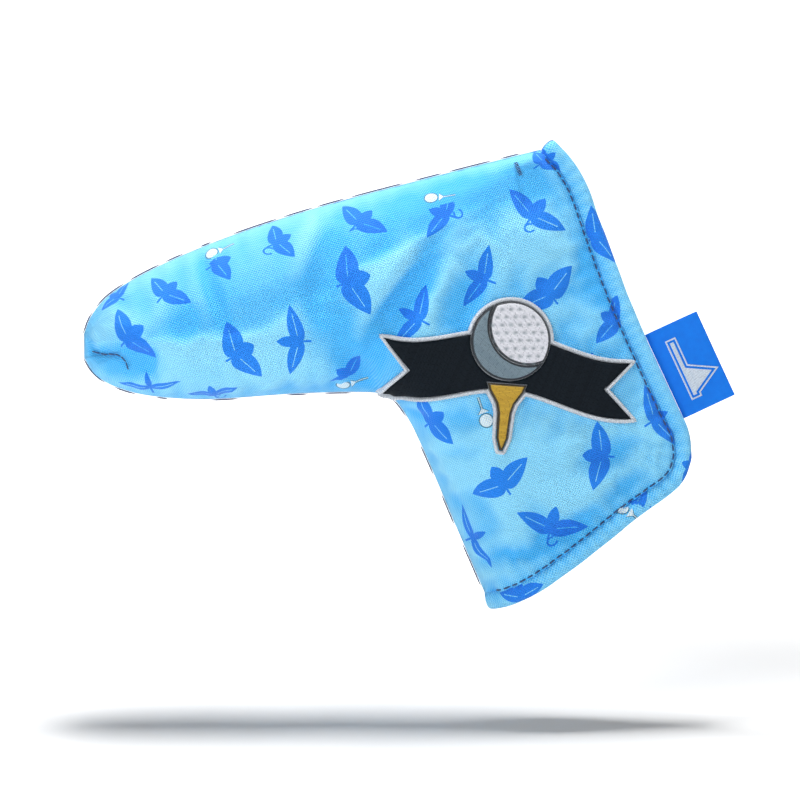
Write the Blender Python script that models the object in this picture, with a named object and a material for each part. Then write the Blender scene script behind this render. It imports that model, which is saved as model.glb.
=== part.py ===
"""A padded fabric head cover for a blade putter.

The cover is an L-shaped sleeve. The long arm holds the putter's blade, and the short
neck lets the hosel and shaft out through the mouth. A front and a back wall, each of
outer cloth, foam and plush lining, are sewn together along the top and bottom seams.
Past the top seam the walls are free: each ends in a leaf with a rolled hem, and magnets
in the foam hold the two leaves shut. A woven label and an embroidered patch finish it.

Frame: the origin is the middle of the mouth, where the shaft leaves. +X runs from the
toe to the heel, +Z is up, and -Y is the front. Design sizes below are in millimetres.
"""

import math

import bmesh
import bpy
import numpy as np
from mathutils import Vector

MM = 0.001

# ---------------------------------------------------------------- driving dimensions
# The flat pattern, as (x, z) points that smooth curves pass through.
TOP_SEAM = [(-169.8, 71), (-167, 77.5), (-160, 85), (-144, 94), (-120, 104), (-89, 114), (-50, 124.3), (-17, 132.6)]
BOTTOM_SEAM = [
    (-169.8, 63), (-166.5, 57.8), (-160, 53.5), (-148, 50.2), (-128, 49), (-100, 50.8), (-79, 51.4),
    (-68, 50.2), (-62, 44), (-55.5, 31), (-46, 8.5), (-35.2, -16.6),
]
CLOSURE_EDGE = [(-17, 132.6), (-10.4, 125.3), (-6.2, 118), (-1.8, 106), (10.2, 75), (23, 47), (27.6, 37.5), (28.6, 30)]
MOUTH_EDGE = [(-35.2, -16.6), (-28, -13.8), (-18.5, -8.3), (-3.2, 2.4), (10.5, 13.1), (23, 21.6), (26.8, 25.2), (28.6, 30)]
# Each key section pairs a share of the way along the bottom seam with one along the upper
# side, and SECTIONS_BETWEEN says how many sections lead to the next. None is the end of
# the top seam.
KEY_SECTIONS = [(0.0, 0.0), (0.035, 0.03), (0.10, 0.10), (0.30, 0.34), (0.50, None), (0.60, 0.75), (0.82, 0.92), (1.0, 1.0)]
SECTIONS_BETWEEN = [2, 3, 6, 6, 4, 5, 4]

HALF_DEPTH = 19.5  # from the middle plane to the outer cloth, at the belly
EDGE_ROUND = 23.0  # how far in from a seam the wall reaches its full depth
PROFILE_POWER = 1.8  # 2 is a round edge, lower is a sharper one
LEAF_THICKNESS = 5.6
LEAF_SLOPE = 0.24  # how fast the leaves spread, away from the closure edge
CLOSURE_LINE = ((-9.0, 126.0), (28.6, 36.0))
BLEND_POWER = 7.0
HALF_GAP = 0.15  # from the middle plane to either wall, so that the two never overlap
LAYER_GAP = 0.3

OUTER_CLOTH = 0.8
FOAM = 2.6
PLUSH = 1.5

HEM_WIDTH = 5.9
HEM_DEPTH = 5.2
THREAD_RADIUS = 0.25
SEAM_THREAD_RADIUS = 0.3
STITCH_INSET = 0.9

FOLD_TOP = (-20.5, 133.0)
FOLD_BOTTOM = (-3.5, -6.0)
FOLD_GAP = 0.3

FOLD_CLEARANCE = 2.4  # from the outer cloth out to the line that a leaf turns on, past the patch

MAGNET_RADIUS = 5.0
MAGNET_THICKNESS = 1.6
MAGNET_POCKET_CLEARANCE = 0.4
MAGNET_INSET = 8.5
MAGNET_SHARES = {"upper": 0.42, "lower": 0.80}  # of the way down the closure edge

LABEL_WIDTH = 31.0
LABEL_REACH = 18.6
LABEL_THICKNESS = 1.2
LABEL_MIDDLE_SHARE = 0.77  # of the way down the closure edge
LABEL_DEPTH = -1.1
LABEL_TAIL = 4.0
LABEL_HINGE_GAP = 0.8

PATCH_BASE = 0.5
PATCH_THREAD = 0.6
PATCH_BORDER = 1.4
RIBBON_CENTRE = (-28.2, 59.8)
RIBBON_HALF_LENGTH = 41.0
RIBBON_HALF_HEIGHT = 9.2
RIBBON_TILT = -0.115
RIBBON_WAVE = 3.2
RIBBON_WAVELENGTH = 70.0
RIBBON_NOTCH = 9.0
BALL_CENTRE = (-27.4, 69.6)
BALL_RADIUS = 13.0
SHADE_SHIFT = (6.0, 5.0)
TEE_TOP = (-28.6, 55.4)
TEE_TIP = (-30.6, 33.6)
TEE_CUP_HALF_WIDTH = 6.4
TEE_STEM_HALF_WIDTH = 2.1

ACROSS = 12
EVENNESS = 0.45  # of the points across a section: 1 is even, lower crowds them at the seams
FRONT, BACK = -1, 1


# ---------------------------------------------------------------- curves in the flat
def smooth_curve(points, count):
    """count points, evenly spaced along a Catmull-Rom curve through the given ones."""
    p = np.array(points, float)
    p = np.vstack([2 * p[0] - p[1], p, 2 * p[-1] - p[-2]])
    t = np.linspace(0, 1, 24, endpoint=False)[:, None]
    spans = []
    for a, b, c, d in zip(p[:-3], p[1:-2], p[2:-1], p[3:]):
        spans.append(0.5 * (2 * b + (c - a) * t + (2 * a - 5 * b + 4 * c - d) * t**2 + (3 * b - a - 3 * c + d) * t**3))
    fine = np.vstack(spans + [p[-2][None]])
    return spaced(fine, np.linspace(0, 1, count))


def spaced(line, shares):
    """The points of a polyline at the given shares of its length."""
    steps = np.linalg.norm(np.diff(line, axis=0), axis=1)
    along = np.concatenate([[0], np.cumsum(steps)])
    at = np.asarray(shares, float) * along[-1]
    return np.stack([np.interp(at, along, line[:, k]) for k in range(line.shape[1])], axis=-1)


def distance_to(line, points):
    """The distance of each (x, z) point from a polyline."""
    start, step = line[:-1], np.diff(line, axis=0)
    away = points[..., None, :] - start
    share = np.clip((away * step).sum(-1) / (step**2).sum(-1), 0, 1)
    return np.linalg.norm(away - share[..., None] * step, axis=-1).min(-1)


def across(line):
    """The unit vectors at right angles to a polyline, on its left as it runs."""
    run = np.gradient(line, axis=0)
    run /= np.linalg.norm(run, axis=1)[:, None]
    return np.stack([-run[:, 1], run[:, 0]], axis=1)


top_seam = smooth_curve(TOP_SEAM, 120)
bottom_seam = smooth_curve(BOTTOM_SEAM, 160)
bottom_edge = np.vstack([top_seam[:1], bottom_seam])  # with the short seam across the toe
closure_edge = smooth_curve(CLOSURE_EDGE, 80)
mouth_edge = smooth_curve(MOUTH_EDGE, 60)
upper_side = np.vstack([top_seam, closure_edge[1:]])
sewn_length = np.linalg.norm(np.diff(top_seam, axis=0), axis=1).sum()
upper_length = np.linalg.norm(np.diff(upper_side, axis=0), axis=1).sum()
SEAM_END_SHARE = sewn_length / upper_length

closure_start = np.array(CLOSURE_LINE[0])
closure_run = np.array(CLOSURE_LINE[1]) - closure_start
closure_run = closure_run / np.linalg.norm(closure_run)
closure_inward = np.array([closure_run[1], -closure_run[0]])


# ---------------------------------------------------------------- the padded shape
def rise(distance):
    """The rounded profile of the wall, 0 at a seam and 1 from EDGE_ROUND inwards."""
    t = np.clip(distance / EDGE_ROUND, 1e-4, 1)
    return (1 - (1 - t) ** PROFILE_POWER) ** (1 / PROFILE_POWER)


def leaf_plane(points):
    """The depth of the flat leaf's outer face, which grows away from the closure edge."""
    return LEAF_THICKNESS + LEAF_SLOPE * np.maximum((points - closure_start) @ closure_inward, 0)


def depth(points):
    """How far the outer cloth is from the middle plane at each (x, z) point."""
    belly = HALF_DEPTH * rise(distance_to(top_seam, points)) * rise(distance_to(bottom_edge, points))
    leaf = leaf_plane(points)
    return HALF_GAP + (np.maximum(belly, 1e-3) ** -BLEND_POWER + leaf**-BLEND_POWER) ** (-1 / BLEND_POWER)


def gradient(field, points, step=0.4):
    """The slope of a field of (x, z) at each point."""
    along_x, along_z = np.array([step, 0.0]), np.array([0.0, step])
    return np.stack(
        [
            (field(points + along_x) - field(points - along_x)) / (2 * step),
            (field(points + along_z) - field(points - along_z)) / (2 * step),
        ],
        axis=-1,
    )


def section_shares():
    """The shares along the bottom seam and the upper side of every section, toe to mouth."""
    keys = np.array([(low, SEAM_END_SHARE if high is None else high) for low, high in KEY_SECTIONS])
    rows = [keys[:1]]
    for start, end, count in zip(keys[:-1], keys[1:], SECTIONS_BETWEEN):
        rows.append(start + (end - start) * np.linspace(0, 1, count + 1)[1:, None])
    return np.vstack(rows)


def outer_grid():
    """The front's outer cloth: its points, and the outward direction at each."""
    even = np.linspace(0, 1, ACROSS)
    steps = EVENNESS * even + (1 - EVENNESS) * (1 - np.cos(np.pi * even)) / 2
    shares = section_shares()
    low, high = spaced(bottom_seam, shares[:, 0]), spaced(upper_side, shares[:, 1])
    flat = low[:, None] + (high - low)[:, None] * steps[:, None]
    flat[-1] = spaced(mouth_edge, steps)
    slope = gradient(depth, flat)
    outward = np.stack([-slope[..., 0], -np.ones(flat.shape[:2]), -slope[..., 1]], axis=-1)

    def sewn_direction(line, edge, inner):
        away = gradient(lambda at: distance_to(line, at), edge + 0.08 * (inner - edge), 0.05)
        return np.stack([-away[..., 0], np.zeros(len(edge)), -away[..., 1]], axis=-1)

    sewn = shares[:, 1] <= SEAM_END_SHARE + 1e-6
    outward[:, 0] = sewn_direction(bottom_edge, flat[:, 0], flat[:, 1])
    outward[sewn, -1] = sewn_direction(top_seam, flat[sewn, -1], flat[sewn, -2])
    outward[0] = sewn_direction(bottom_edge, flat[0], np.broadcast_to(flat[4, ACROSS // 2], flat[0].shape))
    outward /= np.linalg.norm(outward, axis=-1)[..., None]
    points = np.stack([flat[..., 0], -depth(flat), flat[..., 1]], axis=-1)
    points[0, :, 1] = points[:, 0, 1] = -HALF_GAP
    points[sewn, -1, 1] = -HALF_GAP
    return points, outward


OUTER_POINTS, OUTER_DIRECTIONS = outer_grid()


DIAGONALS = (
    np.linalg.norm(OUTER_POINTS[1:, 1:] - OUTER_POINTS[:-1, :-1], axis=-1)
    <= np.linalg.norm(OUTER_POINTS[1:, :-1] - OUTER_POINTS[:-1, 1:], axis=-1)
)


def surface(side, inset):
    """The grid of points that lies inset under the outer cloth, on the front or the back."""
    grid = OUTER_POINTS - inset * OUTER_DIRECTIONS
    grid[..., 1] = np.minimum(grid[..., 1], -HALF_GAP)
    return grid * [1, -side, 1]


# ---------------------------------------------------------------- building helpers
for old in list(bpy.data.objects):
    bpy.data.objects.remove(old)


def material(name, colour, roughness, metallic=0.0):
    made = bpy.data.materials.new(name)
    made.use_nodes = True
    shader = made.node_tree.nodes["Principled BSDF"]
    shader.inputs["Base Color"].default_value = (*colour, 1)
    shader.inputs["Roughness"].default_value = roughness
    shader.inputs["Metallic"].default_value = metallic
    return made


SKY_CLOTH = material("sky_cloth", (0.19, 0.60, 0.93), 0.8)
WHITE_FOAM = material("white_foam", (0.86, 0.86, 0.82), 0.9)
GREY_PLUSH = material("grey_plush", (0.55, 0.60, 0.66), 1.0)
NAVY_THREAD = material("navy_thread", (0.02, 0.07, 0.20), 0.6)
BLUE_WOVEN = material("blue_woven", (0.01, 0.19, 0.80), 0.5)
WHITE_THREAD = material("white_thread", (0.80, 0.84, 0.88), 0.5)
BLACK_THREAD = material("black_thread", (0.01, 0.015, 0.02), 0.5)
GREY_THREAD = material("grey_thread", (0.20, 0.30, 0.36), 0.5)
GOLD_THREAD = material("gold_thread", (0.60, 0.42, 0.03), 0.4)
NICKEL = material("nickel", (0.70, 0.70, 0.68), 0.25, 1.0)


def add_object(name, vertices, faces, finish, smooth=True):
    """A mesh object from points in millimetres, with its faces turned outwards."""
    mesh = bpy.data.meshes.new(name)
    mesh.from_pydata([tuple(float(c) * MM for c in v) for v in vertices], [], faces)
    work = bmesh.new()
    work.from_mesh(mesh)
    bmesh.ops.recalc_face_normals(work, faces=work.faces)
    work.to_mesh(mesh)
    work.free()
    if finish:
        mesh.materials.append(finish)
    if smooth:
        mesh.shade_smooth()
        mesh.set_sharp_from_angle(angle=math.radians(40))
    made = bpy.data.objects.new(name, mesh)
    bpy.context.collection.objects.link(made)
    return made


def grid_slab(name, outer, inner, finish, split):
    """A closed solid between two grids. split says which diagonal cuts each cell, so that
    the layers' triangles stay parallel."""
    rows, columns = outer.shape[:2]
    vertices = np.concatenate([outer.reshape(-1, 3), inner.reshape(-1, 3)])
    offset = rows * columns
    faces = []
    for i in range(rows - 1):
        for j in range(columns - 1):
            a, b, c, d = i * columns + j, i * columns + j + 1, (i + 1) * columns + j + 1, (i + 1) * columns + j
            halves = [(a, b, c), (a, c, d)] if split[i, j] else [(a, b, d), (b, c, d)]
            faces += halves + [tuple(offset + k for k in reversed(half)) for half in halves]
    rim = [j for j in range(columns)] + [i * columns + columns - 1 for i in range(1, rows)]
    rim += [(rows - 1) * columns + j for j in range(columns - 2, -1, -1)] + [i * columns for i in range(rows - 2, 0, -1)]
    for k, a in enumerate(rim):
        b = rim[(k + 1) % len(rim)]
        faces += [(a, offset + a, offset + b), (a, offset + b, b)]
    return add_object(name, vertices, faces, finish)


def swept(name, centres, side_vectors, depth_vectors, finish, sides):
    """A closed tube whose section at each centre is the ellipse of its two half-axis vectors."""
    turn = np.linspace(0, 2 * math.pi, sides, endpoint=False)
    rings = centres[:, None] + np.cos(turn)[:, None] * side_vectors[:, None] + np.sin(turn)[:, None] * depth_vectors[:, None]
    count = len(centres)
    faces = []
    for i in range(count - 1):
        for j in range(sides):
            k = (j + 1) % sides
            faces.append((i * sides + j, i * sides + k, (i + 1) * sides + k, (i + 1) * sides + j))
    faces += [tuple(range(sides)), tuple((count - 1) * sides + j for j in range(sides))[::-1]]
    return add_object(name, rings.reshape(-1, 3), faces, finish)


def prism(name, outline, near, far):
    """A hidden cutter: an outline in the (x, z) plane, pulled through from depth near to far."""
    count = len(outline)
    vertices = [(x, near, z) for x, z in outline] + [(x, far, z) for x, z in outline]
    faces = [tuple(range(count)), tuple(range(2 * count - 1, count - 1, -1))]
    faces += [(k, (k + 1) % count, count + (k + 1) % count, count + k) for k in range(count)]
    made = add_object(name, vertices, faces, None, smooth=False)
    made.hide_render = True
    made.display_type = "WIRE"
    return made


def carve(target, cutter, operation):
    step = target.modifiers.new(cutter.name, "BOOLEAN")
    step.operation = operation
    step.object = cutter
    step.solver = "EXACT"


def half_plane(name, on_heel_side, clearance):
    """A cutter that fills one side of the fold plane, out to clearance past it."""
    top, bottom = np.array(FOLD_TOP), np.array(FOLD_BOTTOM)
    run = (bottom - top) / np.linalg.norm(bottom - top)
    heelward = np.array([-run[1], run[0]]) * (1 if on_heel_side else -1)
    edge_top, edge_bottom = top - run * 60, bottom + run * 60
    near, far = heelward * clearance, heelward * 260
    return prism(name, [edge_top + near, edge_bottom + near, edge_bottom + far, edge_top + far], -60, 60)


heel_side = half_plane("heel_side_cutter", True, -FOLD_GAP / 2)
toe_side = half_plane("toe_side_cutter", False, -FOLD_GAP / 2)


def split_at_fold(build, sleeve_name, leaf_name):
    """Builds a piece twice, and keeps the part on each side of the fold line."""
    sleeve = build(sleeve_name)
    carve(sleeve, heel_side, "DIFFERENCE")
    leaf = build(leaf_name)
    carve(leaf, toe_side, "DIFFERENCE")
    return sleeve, leaf


SIDES = {"front": FRONT, "back": BACK}


# ---------------------------------------------------------------- walls: cloth, foam and plush
def wall_layer(label, outset, thickness, finish, first):
    """One layer of the front and back walls, each split into its sleeve part and its leaf.
    first is the section that it starts at, further from the toe for a deeper layer."""
    leaves = {}
    for word, side in SIDES.items():
        outer, inner = surface(side, outset)[first:], surface(side, outset + thickness)[first:]
        _, leaves[word] = split_at_fold(
            lambda name: grid_slab(name, outer, inner, finish, DIAGONALS[first:]),
            f"{label}_{word}_sleeve", f"{label}_{word}_leaf",
        )
    return leaves


foam_outset = OUTER_CLOTH + LAYER_GAP
plush_outset = foam_outset + FOAM + LAYER_GAP
wall_layer("shell", 0.0, OUTER_CLOTH, SKY_CLOTH, 0)
foam_leaves = wall_layer("padding", foam_outset, FOAM, WHITE_FOAM, 1)
wall_layer("lining", plush_outset, PLUSH, GREY_PLUSH, 4)


# ---------------------------------------------------------------- magnets in the leaves' foam
def leaf_normal(side):
    """The outward normal of a leaf's flat face."""
    return Vector((-LEAF_SLOPE * closure_inward[0], side, -LEAF_SLOPE * closure_inward[1])).normalized()


def disc(name, centre, normal, radius, thickness, finish):
    work = bmesh.new()
    bmesh.ops.create_cone(
        work, cap_ends=True, segments=24, radius1=radius * MM, radius2=radius * MM, depth=thickness * MM
    )
    mesh = bpy.data.meshes.new(name)
    work.to_mesh(mesh)
    work.free()
    mesh.materials.append(finish)
    made = bpy.data.objects.new(name, mesh)
    made.location = Vector(centre) * MM
    made.rotation_euler = normal.to_track_quat("Z", "Y").to_euler()
    bpy.context.collection.objects.link(made)
    return made


for word, side in SIDES.items():
    for place, share in MAGNET_SHARES.items():
        seat = spaced(closure_edge, share) + closure_inward * MAGNET_INSET
        cloth = Vector((seat[0], side * float(depth(seat[None])[0]), seat[1]))
        centre = cloth - (foam_outset + FOAM / 2) * leaf_normal(side)
        disc(f"magnet_{word}_{place}", centre, leaf_normal(side), MAGNET_RADIUS, MAGNET_THICKNESS, NICKEL)
        pocket = disc(
            f"magnet_pocket_{word}_{place}", centre, leaf_normal(side),
            MAGNET_RADIUS + MAGNET_POCKET_CLEARANCE, 4 * FOAM, NICKEL,
        )
        pocket.hide_render = True
        pocket.display_type = "WIRE"
        carve(foam_leaves[word], pocket, "DIFFERENCE")


# ---------------------------------------------------------------- rolled hems and their topstitch
free_edge = np.vstack([closure_edge, mouth_edge[::-1][1:]])
HEM_STATIONS = 54


def hem_frame():
    """Points along the free edge, with the outward direction at each."""
    line = spaced(free_edge, np.linspace(0, 1, HEM_STATIONS))
    return line, across(line)


def round_frame(centres, outward, half_width, half_depth):
    """The two half-axes of a tube's section, square to its run and to the outward direction."""
    run = np.gradient(centres, axis=0)
    run /= np.linalg.norm(run, axis=1)[:, None]
    wide = np.stack([outward[:, 0], np.zeros(len(outward)), outward[:, 1]], axis=1)
    wide -= (wide * run).sum(1)[:, None] * run
    wide /= np.linalg.norm(wide, axis=1)[:, None]
    return wide * half_width, np.cross(run, wide) * half_depth


def hem(name, side):
    line, outward = hem_frame()
    half_width = (HEM_WIDTH - LAYER_GAP) / 2
    middle = line + outward * (LAYER_GAP + half_width)
    centre_depth = np.maximum(depth(line) - LEAF_THICKNESS / 2, HALF_GAP + HEM_DEPTH / 2)
    centres = np.stack([middle[:, 0], side * centre_depth, middle[:, 1]], axis=1)
    return swept(name, centres, *round_frame(centres, outward, half_width, HEM_DEPTH / 2), SKY_CLOTH, 10)


def surface_thread(name, side, line, radius, stations, finish=NAVY_THREAD):
    """A thread that lies on the outer cloth along a line in the (x, z) plane."""
    points = spaced(line, np.linspace(0, 1, stations))
    height = depth(points) + LAYER_GAP + radius
    centres = np.stack([points[:, 0], side * height, points[:, 1]], axis=1)
    return swept(name, centres, *round_frame(centres, across(points), radius, radius), finish, 6)


stitch_line = free_edge - across(free_edge) * STITCH_INSET
stitch_line = spaced(stitch_line, np.linspace(0.02, 0.985, 90))

hem_leaves = {}
for word, side in SIDES.items():
    _, hem_leaves[word] = split_at_fold(lambda name: hem(name, side), f"hem_{word}_mouth", f"hem_{word}_leaf")
    split_at_fold(
        lambda name: surface_thread(name, side, stitch_line, THREAD_RADIUS, 60),
        f"topstitch_{word}_mouth", f"topstitch_{word}_leaf",
    )


# ---------------------------------------------------------------- seams, toe tuck and bar tack
def seam_thread(name, line, outward_sign, stations, start, end):
    """The thread in the groove where the front and back cloth are sewn together."""
    points = spaced(line, np.linspace(start, end, stations))
    outward = across(points) * outward_sign
    centres = points + outward * (SEAM_THREAD_RADIUS + HALF_GAP)
    middle = np.stack([centres[:, 0], np.zeros(stations), centres[:, 1]], axis=1)
    wide = np.stack([outward[:, 0], np.zeros(stations), outward[:, 1]], axis=1) * SEAM_THREAD_RADIUS
    deep = np.tile([0.0, SEAM_THREAD_RADIUS, 0.0], (stations, 1))
    return swept(name, middle, wide, deep, NAVY_THREAD, 6)


seam_thread("seam_thread_top", top_seam, 1, 44, 0.0, 0.96)
seam_thread("seam_thread_bottom", bottom_seam, -1, 52, 0.0, 0.985)

TOE_TUCK = [(-167.2, 65.6), (-163, 65.0), (-158.2, 64.6), (-155.6, 62.6), (-153.9, 59.6)]
surface_thread("toe_tuck_thread", FRONT, smooth_curve(TOE_TUCK, 40), THREAD_RADIUS, 12)

BAR_TACK = [(-25.4, 128.2), (-23.8, 124.4)]
surface_thread("corner_bar_tack", FRONT, np.array(BAR_TACK), 2.2 * THREAD_RADIUS, 4)


# ---------------------------------------------------------------- embroidered patch
def ribbon_outline(grow=0.0):
    """A waving banner with a swallow-tail notch at each end, grown by a margin all round."""
    reach = RIBBON_HALF_LENGTH + grow
    half_height = RIBBON_HALF_HEIGHT + grow
    along = np.linspace(-reach, reach, 23)
    centre = RIBBON_WAVE * np.cos(2 * math.pi * along / RIBBON_WAVELENGTH) + RIBBON_TILT * along
    upper = [(a, c + half_height) for a, c in zip(along, centre)]
    lower = [(a, c - half_height) for a, c in zip(along, centre)]
    notch = reach - RIBBON_NOTCH + 0.6 * grow
    mid = RIBBON_WAVE * math.cos(2 * math.pi * notch / RIBBON_WAVELENGTH)
    right = (notch, mid + RIBBON_TILT * notch)
    left = (-notch, mid - RIBBON_TILT * notch)
    outline = upper + [right] + lower[::-1] + [left]
    return [(x + RIBBON_CENTRE[0], z + RIBBON_CENTRE[1]) for x, z in outline]


def circle_outline(centre, radius, count=36):
    turn = np.linspace(0, 2 * math.pi, count, endpoint=False)
    return [(centre[0] + radius * math.cos(t), centre[1] + radius * math.sin(t)) for t in turn]


def tee_outline(grow=0.0):
    """A golf tee: a dished cup on a stem that tapers to a point."""
    top, tip = np.array(TEE_TOP), np.array(TEE_TIP)
    down = (tip - top) / np.linalg.norm(tip - top)
    right = np.array([-down[1], down[0]])
    length = np.linalg.norm(tip - top)
    half = [(-grow, TEE_CUP_HALF_WIDTH + grow), (2.4 + grow, TEE_CUP_HALF_WIDTH - 0.8 + grow)]
    half += [(6.5, TEE_STEM_HALF_WIDTH + 0.8 + grow), (9.5, TEE_STEM_HALF_WIDTH + grow)]
    half += [(length - 4, TEE_STEM_HALF_WIDTH - 0.3 + grow), (length + grow, 0.5 + grow / 2)]
    outline = [top + down * a + right * b for a, b in half]
    outline += [top + down * a - right * b for a, b in reversed(half)]
    return [tuple(p) for p in outline]


def patch_slab(name, low, high, finish):
    """A thin slab that lies over the front cloth, from low to high above it."""
    return grid_slab(name, surface(FRONT, -high), surface(FRONT, -low), finish, DIAGONALS)


def motif_cutter(name, grow):
    """The outline of the whole device: banner, ball and tee."""
    whole = prism(name, ribbon_outline(grow), -45, 5)
    for word, outline in (
        ("ball", circle_outline(BALL_CENTRE, BALL_RADIUS + grow)),
        ("tee", tee_outline(grow)),
    ):
        carve(whole, prism(f"{name}_{word}", outline, -46, 6), "UNION")
    return whole


base_low = LAYER_GAP
base_high = base_low + PATCH_BASE
thread_low = base_high + LAYER_GAP
thread_high = thread_low + PATCH_THREAD
whole_device = motif_cutter("device_cutter", PATCH_BORDER)
inner_device = motif_cutter("device_inner_cutter", LAYER_GAP)
ribbon_cutter = prism("ribbon_cutter", ribbon_outline(), -44, 4)
ball_cutter = prism("ball_cutter", circle_outline(BALL_CENTRE, BALL_RADIUS), -47, 7)
ball_clearance = prism("ball_clearance_cutter", circle_outline(BALL_CENTRE, BALL_RADIUS + LAYER_GAP), -48, 8)
tee_cutter = prism("tee_cutter", tee_outline(), -43, 3)
tee_clearance = prism("tee_clearance_cutter", tee_outline(LAYER_GAP), -42, 2)
shade_centre = (BALL_CENTRE[0] + SHADE_SHIFT[0], BALL_CENTRE[1] + SHADE_SHIFT[1])
shade_edge = prism("shade_edge_cutter", circle_outline(shade_centre, BALL_RADIUS), -41, 1)
shade_clearance = prism("shade_clearance_cutter", circle_outline(shade_centre, BALL_RADIUS + LAYER_GAP), -40, 1.5)


def patch_backing(name):
    made = patch_slab(name, base_low, base_high, WHITE_THREAD)
    carve(made, whole_device, "INTERSECT")
    return made


def patch_border(name):
    made = patch_slab(name, thread_low, thread_high, WHITE_THREAD)
    carve(made, whole_device, "INTERSECT")
    carve(made, inner_device, "DIFFERENCE")
    return made


def patch_ribbon(name):
    made = patch_slab(name, thread_low, thread_high, BLACK_THREAD)
    carve(made, ribbon_cutter, "INTERSECT")
    carve(made, ball_clearance, "DIFFERENCE")
    return made


split_at_fold(patch_backing, "patch_backing_sleeve", "patch_backing_leaf")
split_at_fold(patch_border, "patch_border_sleeve", "patch_border_leaf")
ribbon_sleeve, _ = split_at_fold(patch_ribbon, "patch_ribbon_sleeve", "patch_ribbon_leaf")
carve(ribbon_sleeve, tee_clearance, "DIFFERENCE")

ball = patch_slab("patch_ball", thread_low, thread_high, WHITE_THREAD)
carve(ball, ball_cutter, "INTERSECT")
carve(ball, shade_edge, "INTERSECT")

ball_shade = patch_slab("patch_ball_shade", thread_low, thread_high, GREY_THREAD)
carve(ball_shade, ball_cutter, "INTERSECT")
carve(ball_shade, shade_clearance, "DIFFERENCE")
carve(ball_shade, tee_clearance, "DIFFERENCE")

tee = patch_slab("patch_tee", thread_low, thread_high, GOLD_THREAD)
carve(tee, tee_cutter, "INTERSECT")
carve(tee, ball_clearance, "DIFFERENCE")


# ---------------------------------------------------------------- woven label on the closure edge
def closure_frame(share):
    """A point on the hem's outer edge, with the directions along the edge and away from it."""
    edge = spaced(closure_edge, share)
    beyond = spaced(closure_edge, share + 0.01)
    run = (beyond - edge) / np.linalg.norm(beyond - edge)
    outward = np.array([-run[1], run[0]])
    return edge + outward * (HEM_WIDTH + 0.2), run, outward


label_root, label_run, label_outward = closure_frame(LABEL_MIDDLE_SHARE)


def label_plate(name, start, end, half_width, half_thickness, finish, round_end=False):
    """A flat strip that starts and ends at distances outward from the hinge line."""
    corners = [(start, -half_width), (end, -half_width), (end, half_width), (start, half_width)]
    flat = [label_root + label_outward * a + label_run * b for a, b in corners]
    vertices = [(x, LABEL_DEPTH - half_thickness, z) for x, z in flat]
    vertices += [(x, LABEL_DEPTH + half_thickness, z) for x, z in flat]
    faces = [(0, 1, 2, 3), (7, 6, 5, 4), (0, 4, 5, 1), (1, 5, 6, 2), (2, 6, 7, 3), (3, 7, 4, 0)]
    made = add_object(name, vertices, faces, finish, smooth=False)
    if round_end:
        weights = made.data.attributes.new("bevel_weight_edge", "FLOAT", "EDGE")
        for edge in made.data.edges:
            if {*edge.vertices} in ({1, 2}, {5, 6}):
                weights.data[edge.index].value = 1.0
        bevel = made.modifiers.new("fold", "BEVEL")
        bevel.limit_method = "WEIGHT"
        bevel.width = half_thickness * 0.8 * MM
        bevel.segments = 3
    return made


label_plate("label_flap", LABEL_HINGE_GAP, LABEL_REACH, LABEL_WIDTH / 2, LABEL_THICKNESS / 2, BLUE_WOVEN, True)
label_plate("label_tail", -LABEL_TAIL, -LAYER_GAP, LABEL_WIDTH / 2, LABEL_THICKNESS / 2, BLUE_WOVEN)
slot_half = LABEL_THICKNESS / 2 + 1.0  # past the middle plane, so that no thin skin is left
label_slot = label_plate("label_slot_cutter", -LABEL_TAIL - 0.5, 4.0, LABEL_WIDTH / 2 + 0.5, slot_half, None)
label_slot.hide_render = True
label_slot.display_type = "WIRE"
carve(hem_leaves["front"], label_slot, "DIFFERENCE")

# The label's device is a flagstick with its pennant, in (outward, along) points on the label.
FLAG_OUTLINE = [(6.0, -9.4), (7.2, -9.4), (7.2, 0.4), (15.0, 4.6), (7.2, 9.0), (7.2, 9.6), (6.0, 9.6)]
flag = [label_root + label_outward * a + label_run * b for a, b in FLAG_OUTLINE]
flag_low = LABEL_DEPTH - LABEL_THICKNESS / 2 - 0.3
flag_prism = [(x, flag_low, z) for x, z in flag] + [(x, flag_low - 0.3, z) for x, z in flag]
points_round = len(flag)
flag_faces = [tuple(range(points_round)), tuple(range(2 * points_round - 1, points_round - 1, -1))]
flag_faces += [
    (k, (k + 1) % points_round, points_round + (k + 1) % points_round, points_round + k) for k in range(points_round)
]
add_object("label_flag", flag_prism, flag_faces, WHITE_THREAD, smooth=False)


# ---------------------------------------------------------------- what turns, and on what line
def hinge(name, start, end):
    """An empty on a hinge's line, with its Z axis along the line."""
    line = Vector(end) - Vector(start)
    made = bpy.data.objects.new(name, None)
    made.empty_display_size = 10 * MM
    made.location = Vector(start) * MM
    made.rotation_euler = line.to_track_quat("Z", "Y").to_euler()
    bpy.context.collection.objects.link(made)
    return made


def fold_point(side, at):
    flat = np.array(at)
    return (flat[0], side * (HALF_GAP + float(leaf_plane(flat[None])[0]) + FOLD_CLEARANCE), flat[1])


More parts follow.
